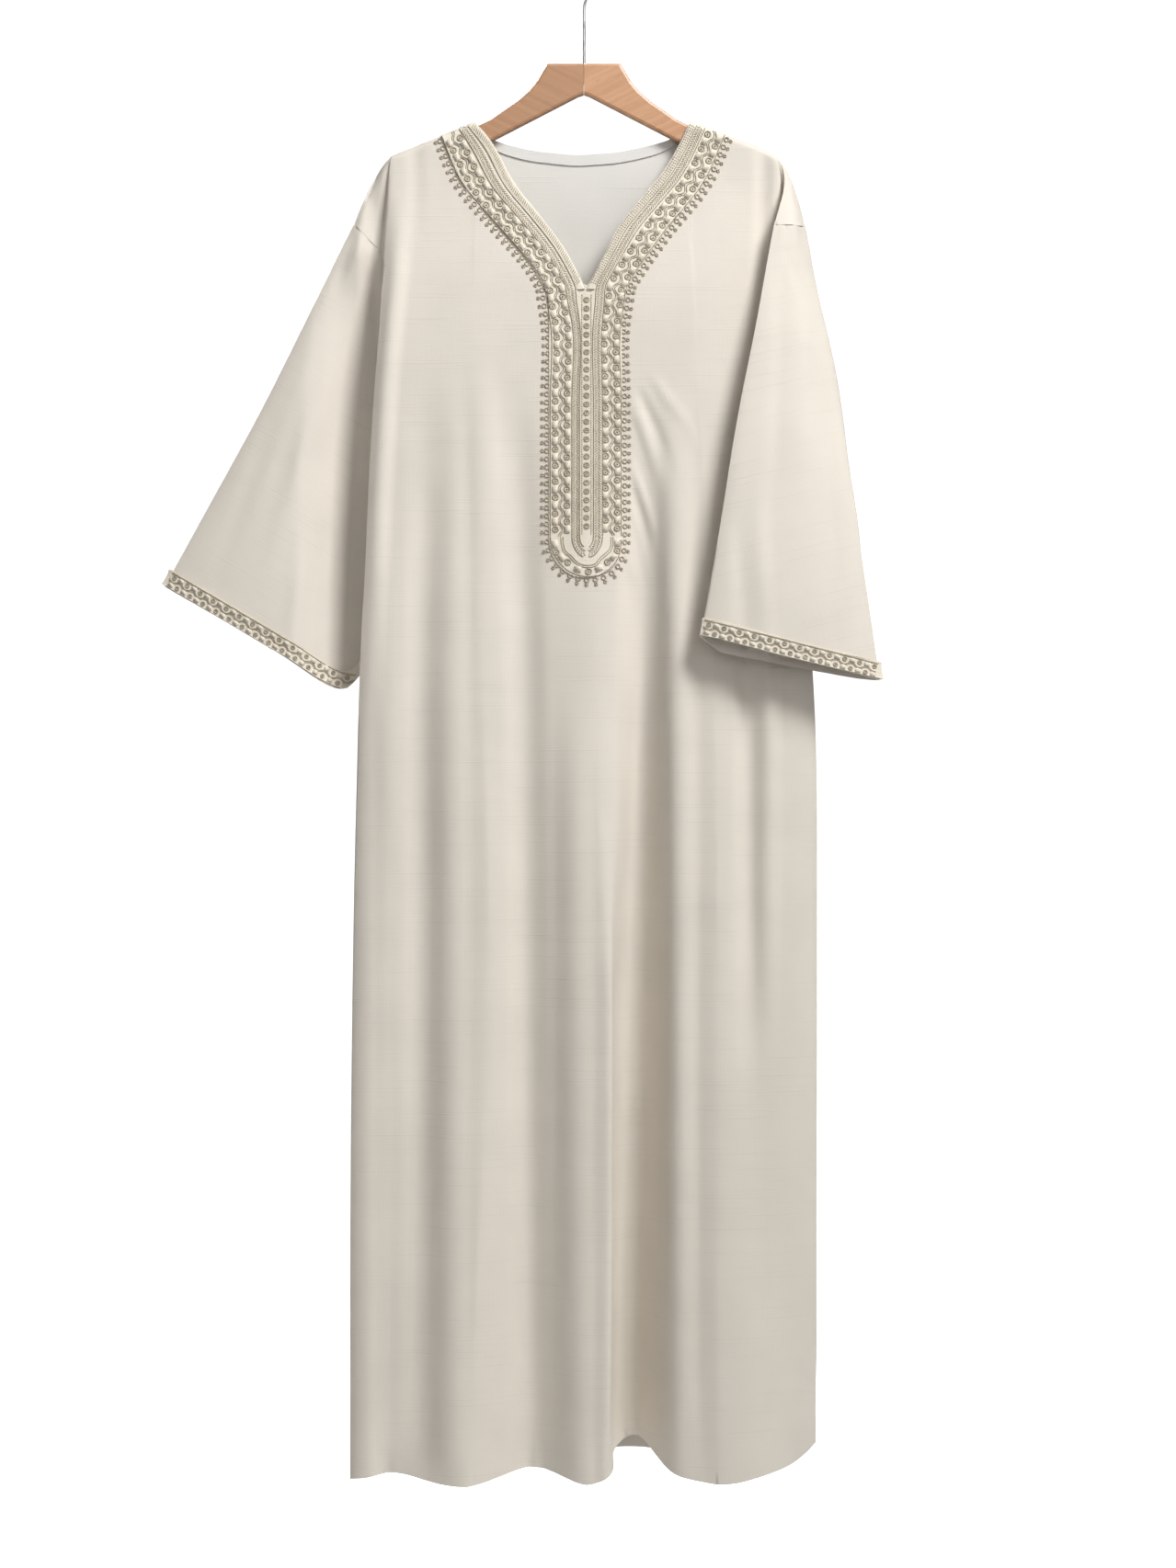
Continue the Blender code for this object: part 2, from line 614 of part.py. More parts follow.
def cuff_band_layers(rings, outward):
    """Lower and upper skins of the band that lies round a cuff."""
    lower, upper = [], []
    for rib in CUFF_RIBS:
        ring, heading = [], []
        for k, point in enumerate(rings[-1]):
            up = rings[-2][k] - point
            heading.append(up / np.linalg.norm(up))
            ring.append(point + heading[-1] * (CUFF_BAND_WIDTH * (1 - rib.share) + 0.5))
        lower.append(off_ring(ring, heading, outward * LAID_ON_GAP))
        upper.append(off_ring(ring, heading, outward * (LAID_ON_GAP + rib.height)))
    return lower, upper


def new_object(name, bm, collection, finish):
    """Turns a bmesh into an object of the collection with its own material."""
    mesh = bpy.data.meshes.new(name)
    bm.to_mesh(mesh)
    bm.free()
    return add_object(name, mesh, collection, finish)


def add_object(name, data, collection, finish):
    """Links mesh or curve data to the collection under a name."""
    obj = bpy.data.objects.new(name, data)
    collection.objects.link(obj)
    data.materials.append(make_material(name, FINISHES[finish]))
    return obj


def make_material(name, finish):
    """Plain Principled material."""
    material = bpy.data.materials.new(name)
    material.use_nodes = True
    shader = material.node_tree.nodes["Principled BSDF"]
    shader.inputs["Base Color"].default_value = (*finish.color, 1.0)
    shader.inputs["Metallic"].default_value = finish.metallic
    shader.inputs["Roughness"].default_value = finish.roughness
    return material


def skin(bm, rows, closed=False, flip=False):
    """Adds the faces between rows of points."""
    verts = [[bm.verts.new(place(*p)) for p in row] for row in rows]
    for upper, lower in zip(verts, verts[1:]):
        count = len(upper) if closed else len(upper) - 1
        for k in range(count):
            n = (k + 1) % len(upper)
            loop = [upper[k], lower[k], lower[n], upper[n]]
            bm.faces.new(reversed(loop) if flip else loop)
    return verts


def wall_step(vert):
    """Step through the cloth that keeps the wall even on every face around."""
    normals = np.array([face.normal for face in vert.link_faces])
    step = np.linalg.pinv(normals, rcond=0.03) @ np.full(len(normals), CLOTH_WALL)
    length = np.linalg.norm(step)
    longest = CLOTH_WALL * (LONGEST_AT_EDGE if vert.is_boundary else LONGEST_MITRE)
    if length > longest:
        step *= longest / length
    return Vector(step * MM)


def add_wall(bm, facing=0):
    """Gives an open surface its thickness on the inner side, with even walls."""
    bm.normal_update()
    outer_faces = list(bm.faces)
    rim = [e for e in bm.edges if e.is_boundary]
    inner = {}
    for vert in list(bm.verts):
        place_in = vert.co - wall_step(vert)
        if facing and -place_in.z < CLEAR_OF_MIDDLE * MM:
            depth = max(-place_in.y * facing, RIDGE_GAP * MM)
            place_in.y = -depth * facing
        inner[vert] = bm.verts.new(place_in)
    for edge in rim:
        loop = edge.link_loops[0]
        a, b = loop.vert, loop.link_loop_next.vert
        cut = bm.faces.new([b, a, inner[a], inner[b]])
        for side in (cut.edges[0], cut.edges[2]):
            side.smooth = False
    for face in outer_faces:
        bm.faces.new([inner[v] for v in reversed(face.verts)])


def make_panel(name, panel, collection):
    """Builds the front or the back and returns its points for what joins it."""
    grid = panel.grid()
    facing = panel.facing
    last = len(panel.columns) - 1
    turned = [LEFT_HOLLOW, LEFT_LIP, LEFT_CROWN] if facing > 0 else []
    left_counts = [1, 2, 2, 1] if turned else [1, 1]
    right = shoulder_flap(grid, 0, RIGHT_SHOULDER, [], facing, [2, 1])
    left = shoulder_flap(grid, last, LEFT_SHOULDER, turned, facing, left_counts)
    bm = bmesh.new()
    skin(bm, grid, flip=facing < 0)
    skin(bm, right, flip=facing > 0)
    skin(bm, left, flip=facing < 0)
    bmesh.ops.remove_doubles(bm, verts=bm.verts, dist=0.00005)
    bmesh.ops.dissolve_degenerate(bm, edges=bm.edges, dist=0.00001)
    tree = BVHTree.FromBMesh(bm)
    add_wall(bm, facing)
    obj = new_object(name, bm, collection, "cloth")
    obj.data.shade_smooth()
    right_edge = split_edge(armhole_edge(grid, 0, right), len(right[0]) - 1)
    left_edge = split_edge(armhole_edge(grid, last, left), len(left[0]) - 1)
    return grid, tree, right_edge, left_edge


def make_sleeve(name, guides, edges, collection, flip):
    """Builds a sleeve and returns its rings."""
    rings = sleeve_rings(guides, *edges)
    bm = bmesh.new()
    skin(bm, rings, closed=True, flip=flip)
    add_wall(bm)
    obj = new_object(name, bm, collection, "cloth")
    obj.data.shade_smooth()
    return rings


def make_slab(name, lower, upper, collection, finish, closed=False, flip=False):
    """Closed body between a lower and an upper skin."""
    bm = bmesh.new()
    low = skin(bm, lower, closed=closed, flip=not flip)
    high = skin(bm, upper, closed=closed, flip=flip)
    rims = [(low[0], high[0]), (high[-1], low[-1])]
    for a, b in rims:
        count = len(a) if closed else len(a) - 1
        for k in range(count):
            n = (k + 1) % len(a)
            loop = [a[k], b[k], b[n], a[n]]
            bm.faces.new(reversed(loop) if flip else loop)
    if not closed:
        for k in range(len(low) - 1):
            right = [low[k][0], low[k + 1][0], high[k + 1][0], high[k][0]]
            left = [low[k][-1], high[k][-1], high[k + 1][-1], low[k + 1][-1]]
            bm.faces.new(reversed(right) if flip else right)
            bm.faces.new(reversed(left) if flip else left)
    bmesh.ops.recalc_face_normals(bm, faces=bm.faces)
    return new_object(name, bm, collection, finish)


def settle(tree, places, normals):
    """Lifts a skin off the cloth until its faces clear it as well."""
    for _ in range(8):
        for r in range(len(places) - 1):
            for c in range(len(places[0]) - 1):
                square = [(r, c), (r + 1, c), (r + 1, c + 1), (r, c + 1)]
                for corners in (square, square[:2], square[1:3], square[2:]):
                    middle = sum(places[i][j] for i, j in corners) / len(corners)
                    lift = LAID_ON_GAP - height_above(tree, middle, normals[r][c])
                    if lift > 0:
                        for i, j in corners:
                            places[i][j] = places[i][j] + normals[i][j] * lift
        for r, row in enumerate(places):
            for c, point in enumerate(row):
                lift = LAID_ON_GAP - height_above(tree, point, normals[r][c])
                if lift > 0:
                    row[c] = point + normals[r][c] * lift


def height_above(tree, point, normal):
    """Distance of a point from the cloth, below it counting as negative."""
    near, _, _, _ = tree.find_nearest(Vector(place(*point)))
    x, y, z = near / MM
    gap = point - np.array([x, -z, -y])
    distance = float(np.linalg.norm(gap))
    return distance if float(gap @ normal) >= 0 else -distance


def laid_band(name, panel, tree, rows, collection):
    """Band laid on a panel; each row holds (x, drop, height) across the band."""
    places, normals, heights = [], [], []
    for row in rows:
        spots = [panel.point_and_normal(x, drop) for x, drop, _ in row]
        places.append([here + normal * LAID_ON_GAP for here, normal in spots])
        normals.append([normal for _, normal in spots])
        heights.append([height for _, _, height in row])
    settle(tree, places, normals)
    upper = [[p + n * h for p, n, h in zip(*lines)]
             for lines in zip(places, normals, heights)]
    return make_slab(name, places, upper, collection, "embroidery")


def neck_band_rows(inner, outer):
    """Stations of the band beside one half of the V."""
    rows = []
    for share in NECK_BAND_STATIONS:
        near = along(inner, share)
        far = along(outer, share)
        rows.append([(*(near + (far - near) * rib.share), rib.height)
                     for rib in NECK_RIBS])
    return rows


def placket_band_rows():
    """Stations of the band down the chest, which has a rounded lower end."""
    middle = (PLACKET_RIGHT + PLACKET_LEFT) / 2
    half = (PLACKET_LEFT - PLACKET_RIGHT) / 2
    straight_end = PLACKET_BOTTOM - PLACKET_ROUND
    drops = [PLACKET_TOP + (straight_end - PLACKET_TOP) * k / 10 for k in range(11)]
    drops += [straight_end + PLACKET_ROUND * math.sin(math.radians(a))
              for a in (18, 35, 50, 64, 76, 84)]
    rows = []
    for drop in drops:
        into = max(drop - straight_end, 0) / PLACKET_ROUND
        width = half * math.sqrt(1 - into ** 2)
        cap = 9 if drop < BRAID_BOTTOM else 1.3
        rows.append([(middle + width * rib.share, drop, min(rib.height, cap))
                     for rib in PLACKET_RIBS])
    return rows


def make_binding(name, grid, collection):
    """Strip folded over the edge of the back neck, along the panel's own columns."""
    top = [np.array(p) for p in grid[0]]
    columns = [c for c, p in enumerate(top) if BINDING_FROM <= p[0] <= BINDING_TO]
    near, far = LAID_ON_GAP, LAID_ON_GAP + BINDING_WALL
    lower = [binding_section(grid, c, near) for c in columns]
    upper = [binding_section(grid, c, far) for c in columns]
    return make_slab(name, lower, upper, collection, "binding")


def binding_section(grid, c, clear):
    """Section of the binding a clear distance off both faces of the panel."""
    inner = -(CLOTH_WALL + clear)
    outside = [off_grid(grid, row, c, clear) for row in (0, 1, 2)]
    inside = [off_grid(grid, row, c, inner) for row in (0, 1, 2)]
    up = outside[0] - outside[1]
    up *= (clear + 0.1) / np.linalg.norm(up)
    return [outside[2], outside[1], outside[0], outside[0] + up,
            inside[0] + up, inside[0], inside[1], inside[2]]


def off_grid(grid, row, c, distance):
    """Point of the panel's mesh moved along the normal of the cloth."""
    here = np.array(grid[row][c])
    across = np.array(grid[row][c + 1]) - np.array(grid[row][c - 1])
    down = np.array(grid[row + 1][c]) - np.array(grid[max(row - 1, 0)][c])
    normal = np.cross(across, down)
    if normal[2] > 0:
        normal = -normal
    return here + normal * (distance / np.linalg.norm(normal))


def make_hanger_half(name, side, collection, cutters):
    """One wooden arm, sawn to its outline, rounded and bored for the wire."""
    ridge_side = -1 if side < 0 else 1
    under_cloth = [(side * -x, profile(RIDGE, ridge_side * -x) + ARM_BELOW_RIDGE)
                   for x in ARM_RIDGE_X]
    outline = [(-HALF_JOINT, HANGER_TOP_DROP)] + ARM_CROWN
    outline = [(side * -x, drop) for x, drop in outline] + under_cloth
    tail = ARM_TIP + ARM_UNDERSIDE + [(-HALF_JOINT, APEX_DROP)]
    outline += [(side * -x, drop) for x, drop in tail]
    bm = bmesh.new()
    front = [bm.verts.new(place(x, drop, ARM_THICKNESS / 2)) for x, drop in outline]
    face = bm.faces.new(front)
    grown = bmesh.ops.extrude_face_region(bm, geom=[face])
    moved = [v for v in grown["geom"] if isinstance(v, bmesh.types.BMVert)]
    bmesh.ops.translate(bm, verts=moved, vec=(0, ARM_THICKNESS * MM, 0))
    bmesh.ops.recalc_face_normals(bm, faces=bm.faces)
    rims = [e for e in bm.edges if is_arm_rim(e)]
    bmesh.ops.bevel(bm, geom=rims, offset=ARM_ROUNDING * MM, segments=2, profile=0.5,
                    affect="EDGES", material=-1)
    obj = new_object(name, bm, collection, "wood")
    bore = obj.modifiers.new("bore", "BOOLEAN")
    bore.operation = "DIFFERENCE"
    bore.solver = "EXACT"
    bore.object = cutters["bore"]
    return obj


def is_arm_rim(edge):
    """Long edges of the arm's two faces, apart from those at the joint."""
    a, b = (v.co for v in edge.verts)
    if abs(a.y - b.y) > 1e-6:
        return False
    return max(abs(a.x), abs(b.x)) > 2 * HALF_JOINT * MM


def make_bore_cutter(collection):
    """Cylinder that drills the wire's hole down the joint of the two arms."""
    depth = WIRE_END_DROP + 2 - HANGER_TOP_DROP + 10
    middle = HANGER_TOP_DROP - 10 + depth / 2
    bpy.ops.mesh.primitive_cylinder_add(vertices=16, radius=WIRE_HOLE_RADIUS * MM,
                                        depth=depth * MM, location=place(0, middle, 0))
    cutter = bpy.context.active_object
    cutter.name = "bore_cutter"
    cutter.hide_render = True
    cutter.display_type = "WIRE"
    for owner in list(cutter.users_collection):
        owner.objects.unlink(cutter)
    collection.objects.link(cutter)
    return cutter


def hook_route():
    """Middle line of the wire: shank, side bend, and the arc over the rail."""
    radius = HOOK_INNER_RADIUS + WIRE_RADIUS
    centre = HOOK_INNER_RADIUS
    leave = math.radians(-50)
    join = np.array([radius * math.cos(leave), centre - radius * math.sin(leave)])
    heading = np.array([-math.sin(leave), -math.cos(leave)])
    shank_top = np.array([0.0, 70.0])
    points = [(0, WIRE_END_DROP), (0, 120), (0, 95)]
    for k in range(9):
        t = k / 8
        points.append(tuple(hermite(shank_top, join, np.array([0, -34.0]),
                                    heading * 34.0, t)))
    for k in range(1, 27):
        angle = leave + math.radians(255) * k / 26
        points.append((radius * math.cos(angle), centre - radius * math.sin(angle)))
    return points


def make_hook(name, collection):
    """Wire hook, a poly curve with a round section."""
    curve = bpy.data.curves.new(name, "CURVE")
    curve.dimensions = "3D"
    curve.bevel_depth = WIRE_RADIUS * MM
    curve.bevel_resolution = 2
    curve.use_fill_caps = True
    points = hook_route()
    spline = curve.splines.new("POLY")
    spline.points.add(len(points) - 1)
    for target, (x, drop) in zip(spline.points, points):
        target.co = (*place(x, drop, 0), 1.0)
    return add_object(name, curve, collection, "wire")


def clear_scene():
    """Removes every object that the file opened with."""
    for obj in list(bpy.data.objects):
        bpy.data.objects.remove(obj, do_unlink=True)


def new_collection(name):
    """Adds a collection to the scene."""
    collection = bpy.data.collections.new(name)
    bpy.context.scene.collection.children.link(collection)
    return collection


def main():
    clear_scene()
    garment = new_collection("thobe_on_hanger")
    cutter_collection = new_collection("cutters")
    front = Panel(FRONT_LINES, FRONT_NECK, 1)
    back = Panel(BACK_LINES, BACK_NECK, -1)
    _, front_tree, front_right, front_left = make_panel("front", front, garment)
    back_grid, _, back_right, back_left = make_panel("back", back, garment)
    right_rings = make_sleeve("sleeve_right", RIGHT_SLEEVE, (front_right, back_right),
                              garment, flip=False)
    left_rings = make_sleeve("sleeve_left", LEFT_SLEEVE, (front_left, back_left),
                             garment, flip=True)
    for name, rings, outward in (("cuff_band_right", right_rings, -1),
                                 ("cuff_band_left", left_rings, 1)):
        lower, upper = cuff_band_layers(rings, outward)
        make_slab(name, lower, upper, garment, "embroidery", closed=True)
    right_rows = neck_band_rows(NECK_BAND_INNER_RIGHT, NECK_BAND_OUTER_RIGHT)
    left_rows = neck_band_rows(NECK_BAND_INNER_LEFT, NECK_BAND_OUTER_LEFT)
    laid_band("neck_band_right", front, front_tree, right_rows, garment)
    laid_band("neck_band_left", front, front_tree, left_rows, garment)
    laid_band("placket_band", front, front_tree, placket_band_rows(), garment)
    make_binding("back_neck_binding", back_grid, garment)
    cutters = {"bore": make_bore_cutter(cutter_collection)}
    make_hanger_half("hanger_half_right", -1, garment, cutters)
    make_hanger_half("hanger_half_left", 1, garment, cutters)
    make_hook("hanger_hook", garment)


main()
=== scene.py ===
# %% [markdown]
# # A thobe on its coat hanger
#
# A long cream garment hangs flat on a plain wooden hanger. Its cloth is a fine,
# smooth cotton. The neck, the chest placket and the cuffs are embroidered with
# khaki thread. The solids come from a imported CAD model. This lesson keeps their
# places and gives every piece its real surface: soft cloth with creases, thread
# that stands up from its ground, wood with grain and bright wire.
#
# All measures in the tables are millimetres. x runs to the wearer's left, drop
# runs down from the rail, and out runs from the hanger towards the viewer.

# %% Load the CAD model as a fixed frame
import json
import math
from collections import namedtuple

import bmesh
import bpy
import numpy as np
from mathutils import Matrix, Vector
from mathutils.bvhtree import BVHTree

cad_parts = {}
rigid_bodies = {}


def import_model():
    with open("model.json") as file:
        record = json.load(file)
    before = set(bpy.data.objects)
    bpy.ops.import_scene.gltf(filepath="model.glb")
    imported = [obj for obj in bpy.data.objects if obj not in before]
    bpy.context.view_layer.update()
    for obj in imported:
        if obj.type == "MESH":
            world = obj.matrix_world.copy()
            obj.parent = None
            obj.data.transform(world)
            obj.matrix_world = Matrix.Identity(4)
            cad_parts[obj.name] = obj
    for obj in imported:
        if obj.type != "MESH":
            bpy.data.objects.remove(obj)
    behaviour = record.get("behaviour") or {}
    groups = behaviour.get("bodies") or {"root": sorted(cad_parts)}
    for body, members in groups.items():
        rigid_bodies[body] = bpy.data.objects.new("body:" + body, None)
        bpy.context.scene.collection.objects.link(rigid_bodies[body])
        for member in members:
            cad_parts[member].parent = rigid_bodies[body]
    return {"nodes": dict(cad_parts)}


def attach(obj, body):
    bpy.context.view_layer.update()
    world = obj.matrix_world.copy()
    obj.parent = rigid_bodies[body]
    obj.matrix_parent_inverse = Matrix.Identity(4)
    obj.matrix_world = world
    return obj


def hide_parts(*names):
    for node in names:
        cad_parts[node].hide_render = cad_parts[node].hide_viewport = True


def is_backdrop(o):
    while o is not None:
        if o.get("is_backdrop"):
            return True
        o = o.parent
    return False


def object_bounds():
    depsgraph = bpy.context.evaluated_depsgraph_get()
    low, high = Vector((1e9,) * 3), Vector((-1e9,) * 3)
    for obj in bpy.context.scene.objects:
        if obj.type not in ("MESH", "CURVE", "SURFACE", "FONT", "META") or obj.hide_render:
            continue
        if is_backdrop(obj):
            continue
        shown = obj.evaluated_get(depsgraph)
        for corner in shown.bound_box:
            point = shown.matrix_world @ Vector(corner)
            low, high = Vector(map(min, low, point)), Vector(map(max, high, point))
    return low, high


for leftover in list(bpy.data.objects):
    bpy.data.objects.remove(leftover, do_unlink=True)
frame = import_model()
nodes = frame["nodes"]
cad_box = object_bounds()
print("CAD nodes:", len(nodes))

# %% Garment measures
MM = 0.001


def place(x, drop, out):
    """A point of the garment in the frame's metres."""
    return Vector((x * MM, -out * MM, -drop * MM))


def measures(mesh):
    """Every vertex of a mesh as arrays of x, drop and out, in millimetres."""
    co = np.empty(len(mesh.vertices) * 3)
    mesh.vertices.foreach_get("co", co)
    x, y, z = co.reshape(-1, 3).T / MM
    return x, -z, -y


def set_measures(mesh, x, drop, out):
    """Puts changed measures back into a mesh."""
    co = np.stack([x, -out, -drop], axis=1) * MM
    mesh.vertices.foreach_set("co", co.ravel())
    mesh.update()


# %% Mesh helpers


def add_object(name, data):
    """A new object in the scene."""
    made = bpy.data.objects.new(name, data)
    bpy.context.scene.collection.objects.link(made)
    return made


def as_mesh(bm, name):
    """A new mesh made from a bmesh, which is freed."""
    mesh = bpy.data.meshes.new(name)
    bm.to_mesh(mesh)
    bm.free()
    return mesh


def surface_tree(pieces):
    """A search tree of the surface of some pieces."""
    bm = bmesh.new()
    for piece in pieces:
        bm.from_mesh(piece.data)
    tree = BVHTree.FromBMesh(bm)
    bm.free()
    return tree


# %% [markdown]
# ## Camera
#
# The photograph was taken square on, from a few metres away. One of its pixels
# is one millimetre at the hanger, so the lens follows from the distance and the
# height of the picture.

# %% Camera
PICTURE_HEIGHT = 1706
DISTANCE = 3250
EYE_X, EYE_DROP = 4.5, 913

camera_data = bpy.data.cameras.new("camera")
camera_data.sensor_width = 36.0
camera_data.lens = camera_data.sensor_width * DISTANCE / PICTURE_HEIGHT
camera = add_object("camera", camera_data)
camera.location = place(EYE_X, EYE_DROP, DISTANCE)
camera.rotation_euler = (math.radians(90), 0, 0)
bpy.context.scene.camera = camera
print("lens:", round(camera_data.lens, 1), "mm")

# %% [markdown]
# ## Node helpers
#
# Every material here is a small web of nodes. These helpers add a node, set its
# values and link it, so that each material reads as a list of what it mixes.

# %% Node helpers


def add_node(tree, kind, **values):
    """A shader node with its settings and unlinked inputs filled in."""
    node = tree.nodes.new(kind)
    for key, value in values.items():
        if hasattr(node, key):
            setattr(node, key, value)
        else:
            node.inputs[key.replace("_", " ")].default_value = value
    return node


def mapped(tree, source, scale, turn=0.0):
    """The coordinates stretched by a scale, after a turn about the out axis."""
    node = add_node(tree, "ShaderNodeMapping", Rotation=(0, turn, 0), Scale=scale)
    tree.links.new(source, node.inputs["Vector"])
    return node.outputs["Vector"]


def noise(tree, vector, scale, detail):
    """Noise texture output along a vector."""
    node = add_node(tree, "ShaderNodeTexNoise", Scale=scale, Detail=detail)
    tree.links.new(vector, node.inputs["Vector"])
    return node.outputs["Fac"]


def remap(tree, value, low, high, to_low=0.0, to_high=1.0):
    """A value moved from one range to another, held at its ends."""
    node = add_node(tree, "ShaderNodeMapRange", From_Min=low, From_Max=high,
                    To_Min=to_low, To_Max=to_high)
    tree.links.new(value, node.inputs["Value"])
    return node.outputs["Result"]


def feed(tree, socket, value):
    """Sets a plain number or colour on a socket, or links an output to it."""
    if isinstance(value, (int, float)):
        socket.default_value = value
    elif isinstance(value, tuple):
        socket.default_value = (*value, 1.0)
    else:
        tree.links.new(value, socket)


def calculate(tree, operation, a, b):
    """Two values or outputs put through one sum."""
    node = add_node(tree, "ShaderNodeMath", operation=operation)
    for socket, value in zip(node.inputs, (a, b)):
        feed(tree, socket, value)
    return node.outputs["Value"]


def mix_colors(tree, factor, first, second):
    """Two colours mixed by a factor; each is an output or a plain colour."""
    node = add_node(tree, "ShaderNodeMix", data_type="RGBA")
    for k, value in ((0, factor), (6, first), (7, second)):     # those for colours
        feed(tree, node.inputs[k], value)
    return node.outputs[2]


def new_group(name, inputs, outputs):
    """An empty node group with named sockets, and its two end nodes."""
    group = bpy.data.node_groups.new(name, "ShaderNodeTree")
    for socket, kind, default in inputs:
        made = group.interface.new_socket(socket, in_out="INPUT", socket_type=kind)
        if default is not None:
            made.default_value = default
    for socket, kind in outputs:
        group.interface.new_socket(socket, in_out="OUTPUT", socket_type=kind)
    return group, group.nodes.new("NodeGroupInput"), group.nodes.new("NodeGroupOutput")


def new_material(name, **plain):
    """A material with its Principled shader, plain values set on the shader."""
    material = bpy.data.materials.new(name)
    material.use_nodes = True
    shader = material.node_tree.nodes["Principled BSDF"]
    for key, value in plain.items():
        shader.inputs[key.replace("_", " ")].default_value = value
    return material, material.node_tree, shader


def bump(tree, height, distance, strength):
    """Bump node fed with a height."""
    node = add_node(tree, "ShaderNodeBump", Distance=distance, Strength=strength)
    tree.links.new(height, node.inputs["Height"])
    return node.outputs["Normal"]


# %% [markdown]
# ## Studio
#
# The photograph has a pure white ground and soft light from the right, which
# leaves the left side of every fold in shade. So the large key lamp stands well
# to the right, and little light comes from anywhere else. The paper behind
# shows white to the camera but sheds no light of its own, or it would fill the
# folds. One lamp stands behind, for the side that the photograph hides.

# %% Lamps
WHITE = (1.0, 1.0, 1.0, 1.0)
SKY_LIGHT, PAPER_LIGHT = 0.19, 0.0


def add_lamp(name, azimuth, height, reach, size, power, at=(EYE_X, EYE_DROP), spread=180):
    """A square soft lamp that looks at a spot on the garment.

    A smaller spread works like a grid on a softbox: less light off its middle.
    """
    data = bpy.data.lights.new(name, "AREA")
    data.size = size
    data.energy = power
    data.spread = math.radians(spread)
    lamp = add_object(name, data)
    a, e = math.radians(azimuth), math.radians(height)
    away = Vector((math.sin(a) * math.cos(e), -math.cos(a) * math.cos(e), math.sin(e)))
    lamp.location = place(*at, 0) + away * reach
    lamp.rotation_euler = away.to_track_quat("Z", "Y").to_euler()


add_lamp("key", azimuth=42, height=42, reach=4.4, size=1.4, power=31, at=(-310, 560),
         spread=68)
add_lamp("fill", azimuth=16, height=20, reach=3.6, size=2.2, power=16.5)
add_lamp("back_light", azimuth=208, height=28, reach=4.0, size=1.6, power=100)


def white_to_camera(tree, socket, cast):
    """White where the camera looks at it, and a weaker light to all else."""
    path = add_node(tree, "ShaderNodeLightPath")
    seen = remap(tree, path.outputs["Is Camera Ray"], 0.0, 1.0, cast, 1.0)
    tree.links.new(seen, socket)


world = bpy.data.worlds.new("studio")
world.use_nodes = True
sky = world.node_tree.nodes["Background"]
sky.inputs["Color"].default_value = WHITE
white_to_camera(world.node_tree, sky.inputs["Strength"], SKY_LIGHT)
bpy.context.scene.world = world
bpy.context.scene.view_settings.view_transform = "Standard"

# %% Floor that curves up into a backdrop
FLOOR_DROP = 1900
SWEEP_RADIUS, WALL_HEIGHT, FLOOR_HALF = 0.9, 5.0, 6.0      # metres


def make_backdrop():
    """A strip of floor, its far edge spun upwards and drawn out into a wall."""
    bm = bmesh.new()
    grid = bmesh.ops.create_grid(bm, x_segments=1, y_segments=1, size=FLOOR_HALF)
    bmesh.ops.translate(bm, verts=grid["verts"], vec=(0, 0, -FLOOR_DROP * MM))
    far = [e for e in bm.edges if all(v.co.y > 0 for v in e.verts)]
    centre = (0, FLOOR_HALF, -FLOOR_DROP * MM + SWEEP_RADIUS)
    spun = bmesh.ops.spin(bm, geom=far, cent=centre, axis=(1, 0, 0),
                          angle=math.radians(90), steps=16, use_merge=False,
                          use_duplicate=False)
    edge = [g for g in spun["geom_last"] if isinstance(g, bmesh.types.BMEdge)]
    wall = bmesh.ops.extrude_edge_only(bm, edges=edge)
    raised = [g for g in wall["geom"] if isinstance(g, bmesh.types.BMVert)]
    bmesh.ops.translate(bm, verts=raised, vec=(0, 0, WALL_HEIGHT))
    bmesh.ops.recalc_face_normals(bm, faces=bm.faces)
    mesh = as_mesh(bm, "backdrop")
    mesh.shade_smooth()
    return add_object("backdrop", mesh)


paper, paper_tree, paper_shader = new_material(
    "backdrop_paper", Base_Color=(0.75, 0.75, 0.75, 1.0), Roughness=0.9,
    Emission_Color=WHITE)
white_to_camera(paper_tree, paper_shader.inputs["Emission Strength"], PAPER_LIGHT)
backdrop = make_backdrop()
backdrop.data.materials.append(paper)
backdrop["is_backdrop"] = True
print("stage is up")

# %% [markdown]
# ## Plain weave
#
# The cloth is a fine plain weave: threads down the garment cross threads that
# run round it, and here and there a thread is thicker. Noise that is stretched
# far along one axis looks like such threads. The same group serves the body,
# the sleeves, the bands and the binding, with its own turn and thread size.

# %% Weave group
THREADS_PER_METRE = 1400.0
THREAD_STRETCH = 0.02
SLUB_SCALE = (9.0, 9.0, 700.0)
SLUB_FROM, SLUB_FULL, SLUB_RISE = 0.66, 0.8, 0.8


